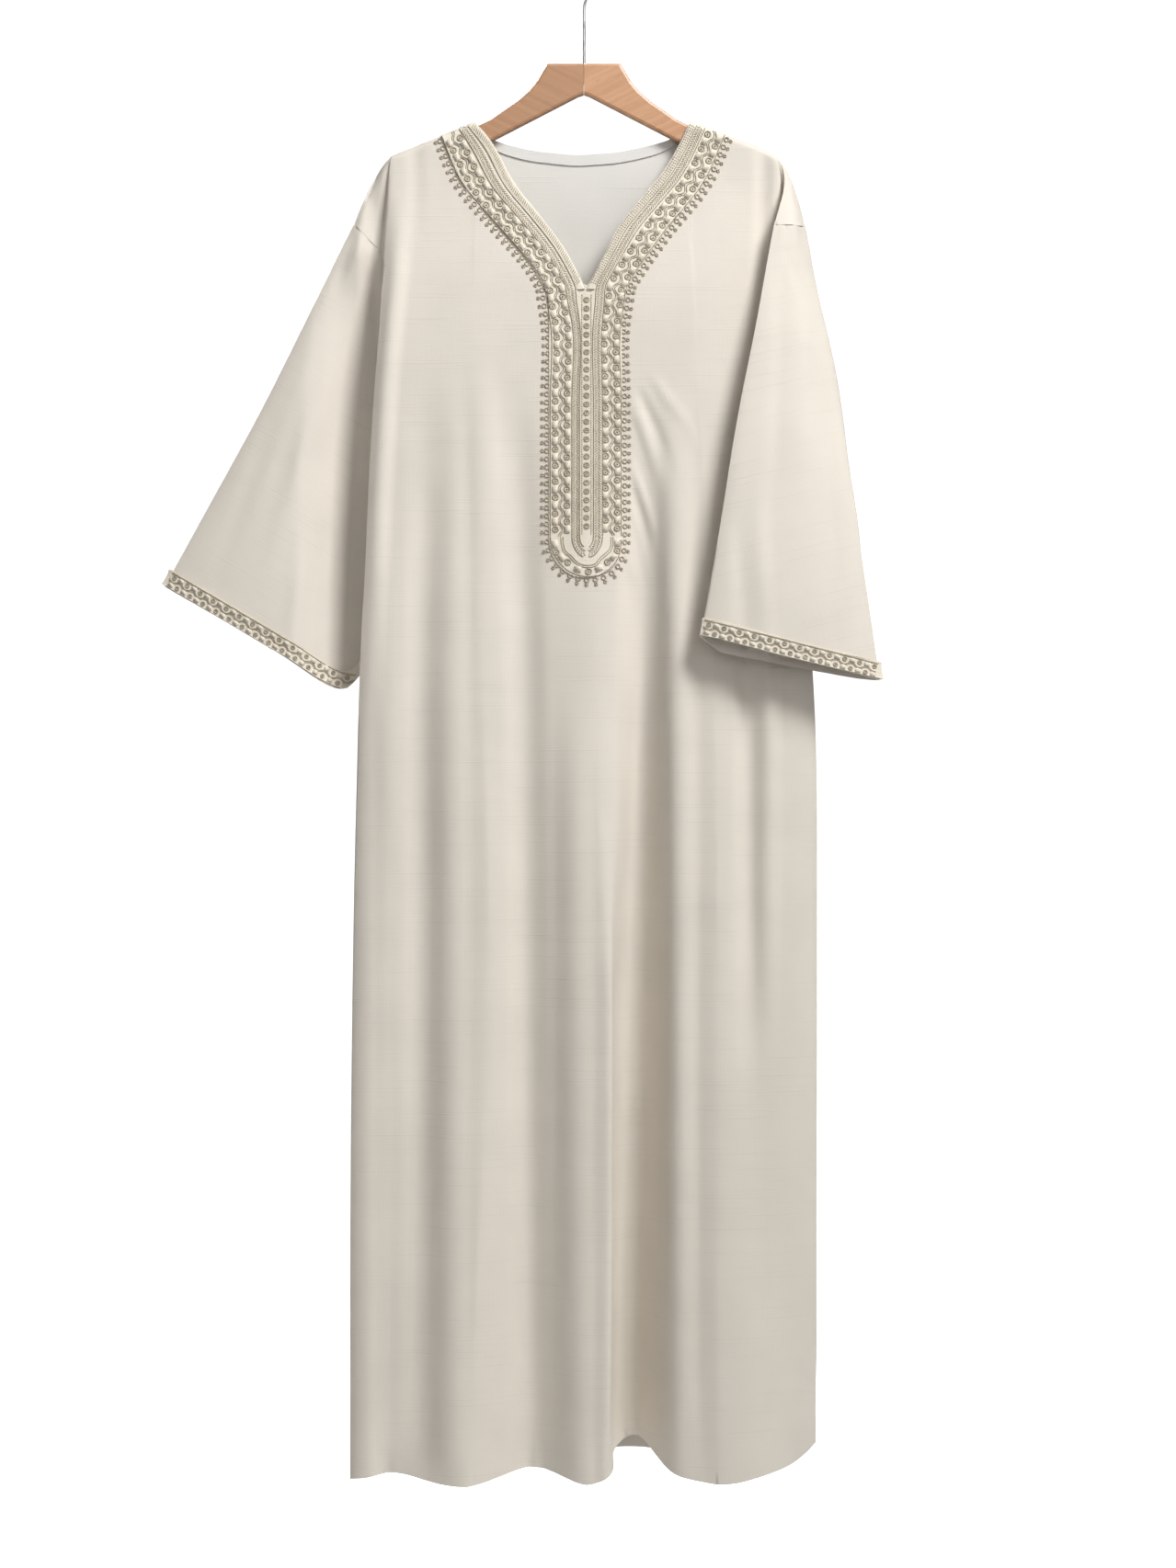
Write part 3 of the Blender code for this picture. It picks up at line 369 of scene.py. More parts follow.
def make_weave_group():
    """Threads both ways as a height, and slow changes of tone as a mask."""
    group, ends, result = new_group(
        "plain_weave",
        [("Vector", "NodeSocketVector", None), ("Coarseness", "NodeSocketFloat", 1.0)],
        [("Height", "NodeSocketFloat"), ("Tone", "NodeSocketFloat"),
         ("Slub", "NodeSocketFloat")])
    vector = ends.outputs["Vector"]
    fine, long = THREADS_PER_METRE, THREADS_PER_METRE * THREAD_STRETCH
    down = noise(group, mapped(group, vector, (fine, fine, long)), 1.0, 1.0)
    across = noise(group, mapped(group, vector, (long, long, fine)), 1.0, 1.0)
    threads = calculate(group, "ADD", down, across)
    slub = noise(group, mapped(group, vector, SLUB_SCALE), 1.0, 0.0)
    slub = remap(group, slub, SLUB_FROM, SLUB_FULL)
    raised = calculate(group, "MULTIPLY", slub, SLUB_RISE)
    height = calculate(group, "ADD", threads, raised)
    height = calculate(group, "MULTIPLY", height, ends.outputs["Coarseness"])
    group.links.new(height, result.inputs["Height"])
    group.links.new(noise(group, vector, 14.0, 3.0), result.inputs["Tone"])
    group.links.new(slub, result.inputs["Slub"])
    return group


weave = make_weave_group()
FLECK_TONE, FLECK_SHARE = 0.8, 0.16
WEAVE_RISE = 0.18 * MM


def woven_material(name, light, dark, turn=0.0, coarseness=1.0):
    """Cloth of one colour family, its weave turned to follow the piece."""
    material, tree, shader = new_material(name, Roughness=0.86, Specular_IOR_Level=0.22,
                                          Sheen_Weight=0.12, Sheen_Roughness=0.5)
    coordinates = add_node(tree, "ShaderNodeTexCoord")
    turned = mapped(tree, coordinates.outputs["Object"], (1, 1, 1), turn)
    group = add_node(tree, "ShaderNodeGroup", node_tree=weave, Coarseness=coarseness)
    tree.links.new(turned, group.inputs["Vector"])
    tone = remap(tree, group.outputs["Tone"], 0.35, 0.65)
    color = mix_colors(tree, tone, light, dark)
    fleck = calculate(tree, "MULTIPLY", group.outputs["Slub"], FLECK_SHARE)
    color = mix_colors(tree, fleck, color, tuple(FLECK_TONE * c for c in dark))
    tree.links.new(color, shader.inputs["Base Color"])
    tree.links.new(bump(tree, group.outputs["Height"], WEAVE_RISE, 0.5),
                   shader.inputs["Normal"])
    return material


CLOTH_LIGHT = (0.735, 0.680, 0.600)
CLOTH_DARK = (0.705, 0.652, 0.575)
cloth = woven_material("cotton", CLOTH_LIGHT, CLOTH_DARK)
cloth_right = woven_material("cotton_right_sleeve", CLOTH_LIGHT, CLOTH_DARK,
                             turn=math.radians(-30))
cloth_left = woven_material("cotton_left_sleeve", CLOTH_LIGHT, CLOTH_DARK,
                            turn=math.radians(14))
# Painted light: a lighter copy of the cotton for the back's inner face in the V, where the
# lamps bring little light
inside_painted_light_cloth = woven_material("cotton_inside_painted_light", (0.79, 0.765, 0.715), (0.765, 0.74, 0.69))
# Painted light: the neck binding in the V is lightened for light that the lamps don't bring
# into the neck opening
binding_painted_light_cloth = woven_material("binding_cotton_painted_light", (0.79, 0.77, 0.74),
                               (0.75, 0.73, 0.70))
band_cloth = woven_material("band_cotton", (0.82, 0.76, 0.65), (0.75, 0.69, 0.575),
                            coarseness=2.2)
print("woven materials:", [m.name for m in bpy.data.materials if "cotton" in m.name])

# %% [markdown]
# ## Cloth from the solids
#
# Each cloth solid is a closed shell with the right outline and the right large
# folds, but its facets are broad. A copy is merged, its triangles are joined
# into four-sided faces, its cut edges are kept sharp with creases, and one or two
# rounds of subdivision turn the facets into smooth cloth.

# %% Smooth copies of the solids
MERGE = 0.00002
# Two cells narrower than this together are close; a shorter side runs through the wall
CLOSE_CELLS, THROUGH_WALL = 13 * MM, 2.2 * MM
COLUMNS_REACH, STEEP = 175 * MM, 3
RIM_UNDER = 1.9 * MM
SHARP = math.radians(55)
FOLD_FROM, FOLD_FULL, FOLD_CREASE = math.radians(38), math.radians(80), 0.7
FIRM_FROM = 0.2
PUSHES, PUSH, EASY = 3, 0.9, 0.55


def merged_copy(name):
    """A node's mesh with its corners merged and its triangles paired."""
    bm = bmesh.new()
    bm.from_mesh(nodes[name].data)
    bmesh.ops.remove_doubles(bm, verts=bm.verts, dist=MERGE)
    bmesh.ops.join_triangles(bm, faces=bm.faces, angle_face_threshold=math.radians(60),
                             angle_shape_threshold=math.radians(170),
                             topology_influence=1.5)
    return bm


def sides_beside(edge, face):
    """The mean length of a face's sides that meet one end of the edge."""
    ends = set(edge.verts)
    beside = [e.calc_length() for e in face.edges if len(ends & set(e.verts)) == 1]
    return sum(beside) / len(beside)


def thin_columns(bm, below):
    """Dissolves columns that stand close together, under the given drop.

    They are there for the neck's corners. Lower down they would gather a fold's
    whole turn in one place and show as a hard line.
    """
    close = []
    for edge in bm.edges:
        a, b = (v.co for v in edge.verts)
        outside = max(a.z, b.z) > -below * MM or abs(a.x) > COLUMNS_REACH
        if outside or len(edge.link_faces) != 2:
            continue
        beside = [sides_beside(edge, face) for face in edge.link_faces]
        upright = abs(a.z - b.z) > STEEP * max(abs(a.x - b.x), abs(a.y - b.y))
        through = edge.calc_length() < THROUGH_WALL
        narrow = min(beside) > THROUGH_WALL and sum(beside) < CLOSE_CELLS
        if narrow and (upright or through):
            close.append(edge)
    bmesh.ops.dissolve_edges(bm, edges=close, use_verts=True)
    return len(close)


def crease_rims(bm):
    """Creases cut edges fully and tight folds by how sharply they turn."""
    crease = bm.edges.layers.float.new("crease_edge")
    creased = 0
    for edge in bm.edges:
        if len(edge.link_faces) != 2:
            continue
        turn = edge.calc_face_angle()
        shortest = min(e.calc_length() for f in edge.link_faces for e in f.edges)
        if shortest < RIM_UNDER:
            if turn > SHARP:
                edge[crease] = 1.0
                creased += 1
        elif turn > FOLD_FROM:
            full = min(1.0, (turn - FOLD_FROM) / (FOLD_FULL - FOLD_FROM))
            edge[crease] = FOLD_CREASE * full
    return creased


def finish_piece(bm, name, material, replaced):
    """Turns a bmesh into a piece of the garment that rides on its one body."""
    mesh = as_mesh(bm, name)
    mesh.materials.append(material)
    if "custom_normal" in mesh.attributes:      # the solid's own flat shading
        mesh.attributes.remove(mesh.attributes["custom_normal"])
    mesh.shade_smooth()
    piece = add_object(name, mesh)
    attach(piece, "root")
    if replaced:
        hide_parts(*replaced)
    return piece


def smoothed_mesh(piece):
    """The mesh of a piece with its modifiers applied."""
    graph = bpy.context.evaluated_depsgraph_get()
    graph.update()
    return bpy.data.meshes.new_from_object(piece.evaluated_get(graph))


def firmness(mesh):
    """1 at the points of cut edges and tight folds, which must not give way."""
    crease = np.zeros(len(mesh.edges))
    mesh.attributes["crease_edge"].data.foreach_get("value", crease)
    ends = np.empty(len(mesh.edges) * 2, dtype=int)
    mesh.edges.foreach_get("vertices", ends)
    firm = np.zeros(len(mesh.vertices))
    for side in ends.reshape(-1, 2).T:
        np.maximum.at(firm, side, (crease > FIRM_FROM).astype(float))
    return firm


def subdivided(piece, rounds):
    """Replaces a piece's mesh by its smooth subdivision.

    Subdivision pulls a coarse mesh inwards, so its corners are first pushed out
    until the smooth surface passes through the solid's own points again. Points
    in open cloth get one easy push alone, or the surface would ripple.
    """
    modifier = piece.modifiers.new("smooth", "SUBSURF")
    modifier.levels = modifier.render_levels = rounds
    goal = np.array(measures(piece.data))
    firm = firmness(piece.data)
    corners = goal.copy()
    for k in range(PUSHES):
        short = goal - np.array(measures(smoothed_mesh(piece)))[:, :goal.shape[1]]
        corners += short * PUSH * (np.maximum(firm, EASY) if k == 0 else firm)
        set_measures(piece.data, *corners)
    smooth = smoothed_mesh(piece)
    left = goal - np.array(measures(smooth))[:, :goal.shape[1]]
    print("  farthest from the solid's points:", round(float(np.abs(left).max()), 2), "mm")
    piece.modifiers.clear()
    piece.data = smooth
    return piece


def cloth_piece(node, name, material, rounds=2, thin_below=None):
    """A smooth piece of cloth that stands for a cloth solid."""
    bm = merged_copy(node)
    if thin_below:
        print("  edges of close columns taken out:", thin_columns(bm, thin_below))
    creased = crease_rims(bm)
    loose = sum(1 for f in bm.faces if len(f.verts) == 3)
    print(name, "faces", len(bm.faces), "triangles left", loose, "creased", creased)
    return subdivided(finish_piece(bm, name, material, [node]), rounds)


front = cloth_piece("front", "cloth_front", cloth, thin_below=440)
back = cloth_piece("back", "cloth_back", cloth, thin_below=300)
sleeve_right = cloth_piece("sleeve_right", "cloth_sleeve_right", cloth_right)
sleeve_left = cloth_piece("sleeve_left", "cloth_sleeve_left", cloth_left)
BAND_SLOTS = {"neck_band_right": "embroidery_neck_right",
              "neck_band_left": "embroidery_neck_left",
              "placket_band": "embroidery_placket",
              "cuff_band_right": "embroidery_cuff_right",
              "cuff_band_left": "embroidery_cuff_left"}
bands = {band: cloth_piece(band, band + "_ground", band_cloth, rounds=1)
         for band, slot in BAND_SLOTS.items()}
binding = cloth_piece("back_neck_binding", "neck_binding", binding_painted_light_cloth)

# %% [markdown]
# ## Easing the open cloth
#
# The solid's mesh has columns that stand close together beside the neck. They
# leave a faint hard line down the crest of a fold. Smoothing would take it
# away, but it would also round the fold edges and the cut edges. So only points
# in open cloth are smoothed, and only outwards or inwards.

# %% Ease the open cloth
Window = namedtuple("Window", "x_low x_high drop_low drop_high")
KEPT_FRONT = [Window(14, 62, 900, 1700), Window(-400, -205, 0, 2000),
              Window(200, 400, 0, 2000), Window(-400, 400, 0, 250),
              Window(-400, 400, 1640, 2000)]
KEPT_BACK = [Window(-400, -212, 0, 2000), Window(205, 400, 0, 2000),
             Window(-400, 400, 0, 262), Window(-400, 400, 1630, 2000)]
FACES_OUT = 0.35


def ease_open_cloth(piece, kept, rounds):
    """Smooths the out measure of every point that lies in no kept window."""
    bm = bmesh.new()
    bm.from_mesh(piece.data)
    free = []
    for v in bm.verts:
        x, drop = v.co.x / MM, -v.co.z / MM
        inside = any(w.x_low < x < w.x_high and w.drop_low < drop < w.drop_high
                     for w in kept)
        if not inside and all(abs(f.normal.y) > FACES_OUT for f in v.link_faces):
            free.append(v)
    for _ in range(rounds):
        bmesh.ops.smooth_vert(bm, verts=free, factor=0.5, use_axis_x=False,
                              use_axis_y=True, use_axis_z=False)
    bm.to_mesh(piece.data)
    bm.free()
    print(piece.name, "eased points:", len(free))


ease_open_cloth(front, KEPT_FRONT, rounds=10)
ease_open_cloth(back, KEPT_BACK, rounds=10)

# %% [markdown]
# ## Creases
#
# A hanging thobe is never smooth. Long soft folds run down it, short ones fan
# out where the cloth is pulled, and small puckers stand at the hem. They could
# come from a cloth simulation, but then they would not lie where the real ones
# do. So each one is listed as a soft trough or ridge along its own
# path, with its own width and depth. The hidden sides get similar ones.

# %% How a crease is pressed into the cloth
Crease = namedtuple("Crease", "width depth points")     # points: x, drop, strength


def press(pieces, creases, sideways=False, share_of=None):
    """Moves the cloth in or out along each crease, both of its skins alike.

    With sideways, it moves across instead, towards the wearer's left. Where
    share_of is given, a point moves by that share of the whole.
    """
    for piece in pieces:
        x, drop, out = measures(piece.data)
        moved = np.zeros_like(x)
        for crease in creases:
            nearest = np.full_like(x, np.inf)
            strength = np.zeros_like(x)
            for a, b in zip(crease.points[:-1], crease.points[1:]):
                run = (b[0] - a[0], b[1] - a[1])
                share = np.clip(((x - a[0]) * run[0] + (drop - a[1]) * run[1])
                                / (run[0] ** 2 + run[1] ** 2), 0, 1)
                away = np.hypot(x - a[0] - share * run[0], drop - a[1] - share * run[1])
                closer = away < nearest
                nearest = np.where(closer, away, nearest)
                strength = np.where(closer, a[2] + share * (b[2] - a[2]), strength)
            moved += (crease.depth * strength
                      * np.clip(1 - (nearest / crease.width) ** 2, 0, 1) ** 2)
        if share_of is not None:
            moved *= share_of[piece.name]
        if sideways:
            set_measures(piece.data, x + moved, drop, out)
        else:
            set_measures(piece.data, x, drop, out + moved)
        print(piece.name, "moved in", round(float(-moved.min()), 1), "out",
              round(float(moved.max()), 1), "mm")


def closeness(pieces, neighbour, width):
    """For each point, 1 where it touches the neighbour and 0 from width mm on."""
    tree = surface_tree([neighbour])
    shares = {}
    for piece in pieces:
        gaps = np.array([tree.find_nearest(v.co)[3] for v in piece.data.vertices])
        near = np.clip(1 - gaps / (width * MM), 0, 1)
        shares[piece.name] = near * near * (3 - 2 * near)
    return shares


# Beside its armhole seam the sleeve follows the front, so that the seam stays shut
right_parts = [sleeve_right, bands["cuff_band_right"]]
near_front = closeness(right_parts, front, width=16)
far_from_front = {name: 1 - share for name, share in near_front.items()}

# %% Creases of the front
FRONT_CREASES = [
    # The deep fold right of the middle: a crisp lip, a floor and a steep rise
    Crease(12, 5, [(25, 960, 0), (26, 1120, 0.8), (25, 1400, 1), (24, 1672, 1)]),
    Crease(30, -17, [(64, 500, 0), (64, 700, 0.6), (64, 900, 1), (62, 1300, 1),
                     (57, 1600, 1), (56, 1672, 1)]),
    Crease(24, 11, [(99, 480, 0), (101, 720, 0.8), (101, 1000, 1), (101, 1500, 0.9),
                    (101, 1672, 0.8)]),
    # Left of the middle: a narrow trough with its own rise
    Crease(26, -6, [(-66, 520, 0), (-64, 720, 0.8), (-62, 1000, 1), (-62, 1500, 0.9),
                    (-61, 1650, 0.5)]),
    Crease(24, 5, [(-10, 800, 0), (-11, 950, 0.9), (-12, 1300, 1), (-14, 1660, 0.7)]),
    # Towards the wearer's right side
    Crease(22, 4, [(-206, 640, 0), (-206, 900, 1), (-206, 1640, 1)]),
    Crease(20, -5, [(-176, 480, 0), (-175, 700, 0.7), (-174, 1000, 1), (-173, 1640, 0.8)]),
    Crease(22, 5, [(-142, 460, 0), (-142, 700, 0.6), (-142, 1000, 1), (-141, 1640, 0.8)]),
    # Beside the wearer's left side, from the cuff down to the knee
    Crease(17, -6.5, [(175, 740, 0), (176, 830, 1), (176, 1050, 0.9), (178, 1240, 0)]),
    Crease(15, 5, [(201, 740, 0), (201, 830, 1), (200, 1050, 0.9), (200, 1240, 0)]),
    # The body's edge beside the sleeve stands up and shades the sleeve
    Crease(15, 5, [(-197, 270, 0), (-202, 360, 1), (-213, 478, 1), (-221, 620, 1),
                   (-230, 860, 0)]),
    # Chest: faint long ones that come down from the shoulders
    Crease(12, -1.6, [(-183, 224, 1), (-182, 262, 1), (-181, 330, 0)]),
    Crease(13, -3.2, [(195, 230, 0.8), (194, 300, 1), (190, 420, 0.5), (186, 520, 0)]),
    Crease(26, -3.0, [(-78, 470, 0), (-74, 560, 1), (-70, 720, 0.6), (-66, 860, 0)]),
    Crease(22, 2.6, [(-112, 430, 0), (-108, 560, 1), (-106, 760, 0.3), (-106, 860, 0)]),
    Crease(24, -2.4, [(-160, 470, 0), (-162, 640, 1), (-164, 800, 0)]),
    # Slanting wrinkles beside the placket
    Crease(9, 2.2, [(52, 500, 0), (60, 520, 1), (74, 560, 0.8), (84, 604, 0)]),
    Crease(8, -2.0, [(56, 486, 0), (68, 508, 1), (86, 548, 0.7), (96, 590, 0)]),
    Crease(8, 1.8, [(50, 560, 0), (58, 586, 1), (70, 622, 0.8), (78, 656, 0)]),
    Crease(8, -1.8, [(48, 584, 0), (58, 612, 1), (70, 650, 0.5), (74, 680, 0)]),
    Crease(9, 1.6, [(70, 470, 0), (86, 492, 1), (108, 520, 0.5), (126, 556, 0)]),
    Crease(10, 1.5, [(44, 640, 0), (52, 676, 1), (60, 716, 0)]),
    # Puckers at the hem
    Crease(5, -1.8, [(-62, 1634, 0), (-61, 1650, 1), (-60, 1672, 1)]),
    Crease(4.5, 1.6, [(-53, 1630, 0), (-52, 1650, 1), (-52, 1672, 1)]),
    Crease(4.5, -1.5, [(-44, 1638, 0), (-43, 1655, 1), (-43, 1672, 1)]),
    Crease(5, 1.5, [(-205, 1630, 0), (-204, 1650, 1), (-203, 1672, 1)]),
    Crease(5, -1.6, [(46, 1590, 0), (47, 1606, 1), (48, 1640, 1)]),
    Crease(9, 1.6, [(120, 1560, 0), (121, 1620, 1), (121, 1680, 1)]),
]
press([front, bands["placket_band"], bands["neck_band_right"], bands["neck_band_left"]],
      FRONT_CREASES)
# Below the knee the lip hangs over the deep fold, so its wall stands upright
press([front], [Crease(19, -11, [(45, 960, 0), (45, 1150, 0.8), (44, 1400, 1),
                                 (43, 1600, 0.6), (42, 1672, 0)]),
                Crease(12, 4, [(24, 980, 0), (25, 1150, 0.8), (25, 1400, 1),
                               (24, 1600, 0.6), (24, 1672, 0)])], sideways=True)
# At the shoulder the cloth sinks behind the fold edge, across the armhole seam
SHOULDER_GUTTER = [Crease(15, -8, [(-224, 246, 0), (-227, 284, 0.7), (-230, 320, 1),
                                  (-232, 360, 1), (-235, 430, 0)])]
press([front, sleeve_right], SHOULDER_GUTTER)

# %% Creases of the back
BACK_CREASES = [
    Crease(26, 6, [(-104, 560, 0), (-104, 760, 0.8), (-102, 1100, 1), (-102, 1600, 0.7),
                   (-102, 1672, 0.4)]),
    Crease(24, -5, [(-70, 620, 0), (-72, 800, 0.8), (-74, 1200, 1), (-74, 1640, 0.7)]),
    Crease(24, 5, [(0, 640, 0), (2, 820, 0.8), (2, 1200, 1), (4, 1640, 0.7)]),
    Crease(24, -5, [(36, 600, 0), (34, 800, 0.8), (34, 1200, 1), (32, 1640, 0.8)]),
    Crease(22, 5, [(92, 620, 0), (92, 820, 0.8), (94, 1200, 1), (96, 1640, 0.8)]),
    Crease(20, -4, [(150, 680, 0), (150, 840, 0.8), (152, 1200, 1), (152, 1640, 0.8)]),
    Crease(18, -3, [(-170, 520, 0), (-172, 700, 0.9), (-174, 1100, 1), (-172, 1600, 0.6)]),
    # Between the shoulder blades and from the arms
    Crease(20, -2.4, [(-150, 300, 0), (-128, 400, 1), (-112, 540, 0.7), (-106, 660, 0)]),
    Crease(18, -2.2, [(150, 300, 0), (132, 420, 1), (118, 560, 0.6), (110, 660, 0)]),
    Crease(14, 2.0, [(-178, 330, 0), (-150, 372, 1), (-112, 402, 0.5), (-84, 418, 0)]),
    Crease(13, 1.8, [(176, 350, 0), (146, 392, 1), (110, 420, 0.5), (86, 432, 0)]),
    Crease(22, -2.2, [(-20, 300, 0), (-14, 440, 1), (-8, 620, 0.6), (-4, 760, 0)]),
    Crease(5, 1.6, [(-30, 1640, 0), (-30, 1656, 1), (-30, 1680, 1)]),
    Crease(5, -1.6, [(88, 1640, 0), (88, 1656, 1), (88, 1680, 1)]),
]
press([back], BACK_CREASES)

# %% Creases of the sleeves
SLEEVE_RIGHT_CREASES = [
    # The gutter beside the body, where the sleeve sinks behind the fold edge
    Crease(48, -19, [(-228, 335, 0), (-232, 385, 0.6), (-238, 520, 1), (-240, 700, 1),
                     (-242, 830, 0.9)]),
    Crease(44, -17, [(-246, 345, 0), (-254, 410, 0.5), (-268, 560, 1), (-272, 700, 1),
                     (-276, 830, 0.9)]),
    Crease(18, -1.5, [(-262, 380, 0), (-290, 470, 1), (-322, 560, 0.7), (-350, 650, 0)]),
    Crease(17, 1.4, [(-268, 440, 0), (-296, 530, 1), (-330, 640, 0.8), (-352, 720, 0)]),
    Crease(14, -1.3, [(-330, 500, 0), (-352, 560, 1), (-384, 640, 0.8), (-408, 710, 0)]),
    Crease(12, 1.8, [(-300, 640, 0), (-308, 700, 1), (-318, 760, 0.5)]),
    Crease(12, -1.8, [(-280, 600, 0), (-290, 680, 1), (-296, 770, 0.6)]),
    Crease(9, -1.5, [(-244, 306, 0), (-262, 352, 1), (-276, 400, 0)]),
    Crease(9, 1.6, [(-252, 312, 0), (-280, 352, 1), (-300, 392, 0)]),
]
SLEEVE_LEFT_CREASES = [
    Crease(16, -2.6, [(214, 330, 0), (212, 440, 1), (206, 560, 0.8), (196, 690, 0)]),
    Crease(15, 2.4, [(236, 320, 0), (238, 430, 1), (236, 560, 0.8), (232, 700, 0)]),
    Crease(15, -2.4, [(256, 400, 0), (262, 520, 1), (268, 640, 0.7), (272, 740, 0)]),
    Crease(12, -2.4, [(166, 620, 0), (168, 690, 1), (172, 760, 0.8)]),
    Crease(12, 2.2, [(186, 590, 0), (190, 680, 1), (196, 770, 0.7)]),
    Crease(9, 1.6, [(222, 312, 0), (240, 342, 1), (262, 380, 0)]),
    Crease(9, -1.6, [(214, 336, 0), (232, 368, 1), (248, 410, 0)]),
    Crease(10, 1.6, [(280, 620, 0), (284, 700, 1), (290, 780, 0.6)]),
]
press(right_parts, SLEEVE_RIGHT_CREASES, share_of=far_from_front)
press(right_parts, FRONT_CREASES, share_of=near_front)
press([sleeve_left, bands["cuff_band_left"]], SLEEVE_LEFT_CREASES)

# %% [markdown]
# ## Tucked seams
#
# Where the photograph shows no seam line, the edge of one piece is slipped a
# little into the wall of its neighbour, as a neat flat seam would hide it: along
# the shoulders and the sides, at the armholes, and where the placket band meets
# the neck bands.

# %% Tuck seams


def tuck(piece, neighbours, gap_below=0.6, reach=0.7, sink=0.2):
    """Slips the edge of a piece that lies along its neighbours into their wall."""
    tree = surface_tree(neighbours)
    tucked = 0
    for v, normal in [(v, v.normal.copy()) for v in piece.data.vertices]:
        spot, _, _, gap = tree.find_nearest(v.co, gap_below * MM)
        if spot is not None and gap > MERGE:
            v.co += (spot - v.co) / gap * (gap + reach * MM) - normal * sink * MM
            tucked += 1
    piece.data.update()
    print(piece.name, "points tucked:", tucked)


tuck(front, [back], gap_below=2.9, reach=0.4, sink=0.0)
tuck(sleeve_left, [front, back])
tuck(sleeve_right, [front, back], reach=0.3, sink=0.3)
tuck(bands["placket_band"], [bands["neck_band_right"], bands["neck_band_left"]],
     gap_below=3.4, reach=0.8, sink=0.05)

# %% Crisp cut edges
for piece in (front, back, sleeve_right, sleeve_left, binding, *bands.values()):
    piece.data.set_sharp_from_angle(angle=math.radians(60))

# %% [markdown]
# ## Inside of the back
#
# The V shows a patch of the back's inner face. It lies deep in the neck opening,
# where the lamps bring little light, so the faces that look forwards there get
# painted light: a lighter copy of the cotton.

# %% Painted light on the inside of the back
INSIDE_TO = 470
FACES_FORWARD = -0.3

back.data.materials.append(inside_painted_light_cloth)
lighter = 0
# Painted light: faces near the neck that look forwards take the lighter cotton
for face in back.data.polygons:
    if face.normal.y < FACES_FORWARD and -face.center.z / MM < INSIDE_TO:
        face.material_index = 1
        lighter += 1
print("faces of the lighter inside:", lighter)

# %% [markdown]
# ## Thread
#
# The embroidery is khaki thread on a ground of the same family. It could be
# painted on the band with a texture, but then it would stay flat from the side.
# Here every cord, rosette and stitch is a small solid shape that lies on the
# cloth. The threads have a slight gloss and fine strands, as twisted cotton has.

# %% Thread materials
STRANDS_PER_METRE = (1100, 1100, 440)
TWIST_TURN = 0.6
STRAND_RISE = 0.2 * MM


def thread_material(name, light, dark):
    """Twisted thread: two close tones, with fine strands that stand up."""
    material, tree, shader = new_material(name, Roughness=0.62, Specular_IOR_Level=0.3,
                                          Sheen_Weight=0.08)
    coordinates = add_node(tree, "ShaderNodeTexCoord").outputs["Object"]
    strands = mapped(tree, coordinates, STRANDS_PER_METRE, TWIST_TURN)
    twist = noise(tree, strands, 1.0, 1.0)
    patch = noise(tree, coordinates, 60.0, 2.0)
    tone = remap(tree, calculate(tree, "ADD", twist, patch), 0.8, 1.2)
    tree.links.new(mix_colors(tree, tone, light, dark), shader.inputs["Base Color"])
    tree.links.new(bump(tree, twist, STRAND_RISE, 0.6), shader.inputs["Normal"])
    return material


THREADS = [thread_material("cord_thread", (0.41, 0.35, 0.27), (0.30, 0.25, 0.185)),
           thread_material("rosette_thread", (0.50, 0.435, 0.34), (0.40, 0.345, 0.265)),
           thread_material("stitch_thread", (0.55, 0.485, 0.385), (0.44, 0.38, 0.295)),
           thread_material("satin_thread", (0.79, 0.72, 0.605), (0.73, 0.66, 0.545))]
ROSETTE, STITCH, SATIN = 1, 2, 3        # cords keep 0
print("thread materials:", [m.name for m in THREADS])

# %% [markdown]
# ## Small shapes of the stitches
#
# A rosette is a ring of wound thread with a knot in it. A picot is a loop with a
# smaller, tighter loop beyond it. A stitch is one short, plump run of thread, and a
# window is a low pad of satin stitch. Each is made once, with few faces,
# because it comes back hundreds of times.

# %% Stitch shapes


def as_shape(bm, name, kind):
    """Keeps a small bmesh as a mesh that can be stamped again and again.

    A spin leaves its faces in any order. Here they are put in a fixed one, so
    that each run gives the same mesh.
    """
    bmesh.ops.recalc_face_normals(bm, faces=bm.faces)
    bm.verts.index_update()
    faces = sorted([v.index for v in face.verts] for face in bm.faces)
    mesh = bpy.data.meshes.new(name)
    mesh.from_pydata([v.co for v in bm.verts], [], faces)
    bm.free()
    mesh.polygons.foreach_set("material_index", [kind] * len(faces))
    mesh.shade_smooth()
    print(name, "faces:", len(faces))
    return mesh


def add_ring(bm, centre, radius, thread, steps):
    """A ring of thread: a small circle spun about the ring's own centre."""
    made = bmesh.ops.create_circle(bm, segments=4, radius=thread * MM)
    verts = made["verts"]
    bmesh.ops.rotate(bm, verts=verts, matrix=Matrix.Rotation(math.radians(90), 3, "X"))
    bmesh.ops.translate(bm, verts=verts, vec=((centre[0] + radius) * MM, centre[1] * MM, 0))
    edges = list(dict.fromkeys(e for v in verts for e in v.link_edges))
    bmesh.ops.spin(bm, geom=verts + edges, cent=(centre[0] * MM, centre[1] * MM, 0),
                   axis=(0, 0, 1), angle=math.radians(360), steps=steps, use_merge=True)
    bmesh.ops.remove_doubles(bm, verts=bm.verts, dist=MERGE)


def make_rosette(radius, thread):
    """A wound ring with a low, round knot in the middle."""
    bm = bmesh.new()
    add_ring(bm, (0, 0), radius - thread, thread, 9)
    knot = bmesh.ops.create_uvsphere(bm, u_segments=5, v_segments=3, radius=MM)
    bmesh.ops.scale(bm, verts=knot["verts"], vec=(radius * 0.34, radius * 0.34, 0.7))
    return as_shape(bm, "rosette", ROSETTE)


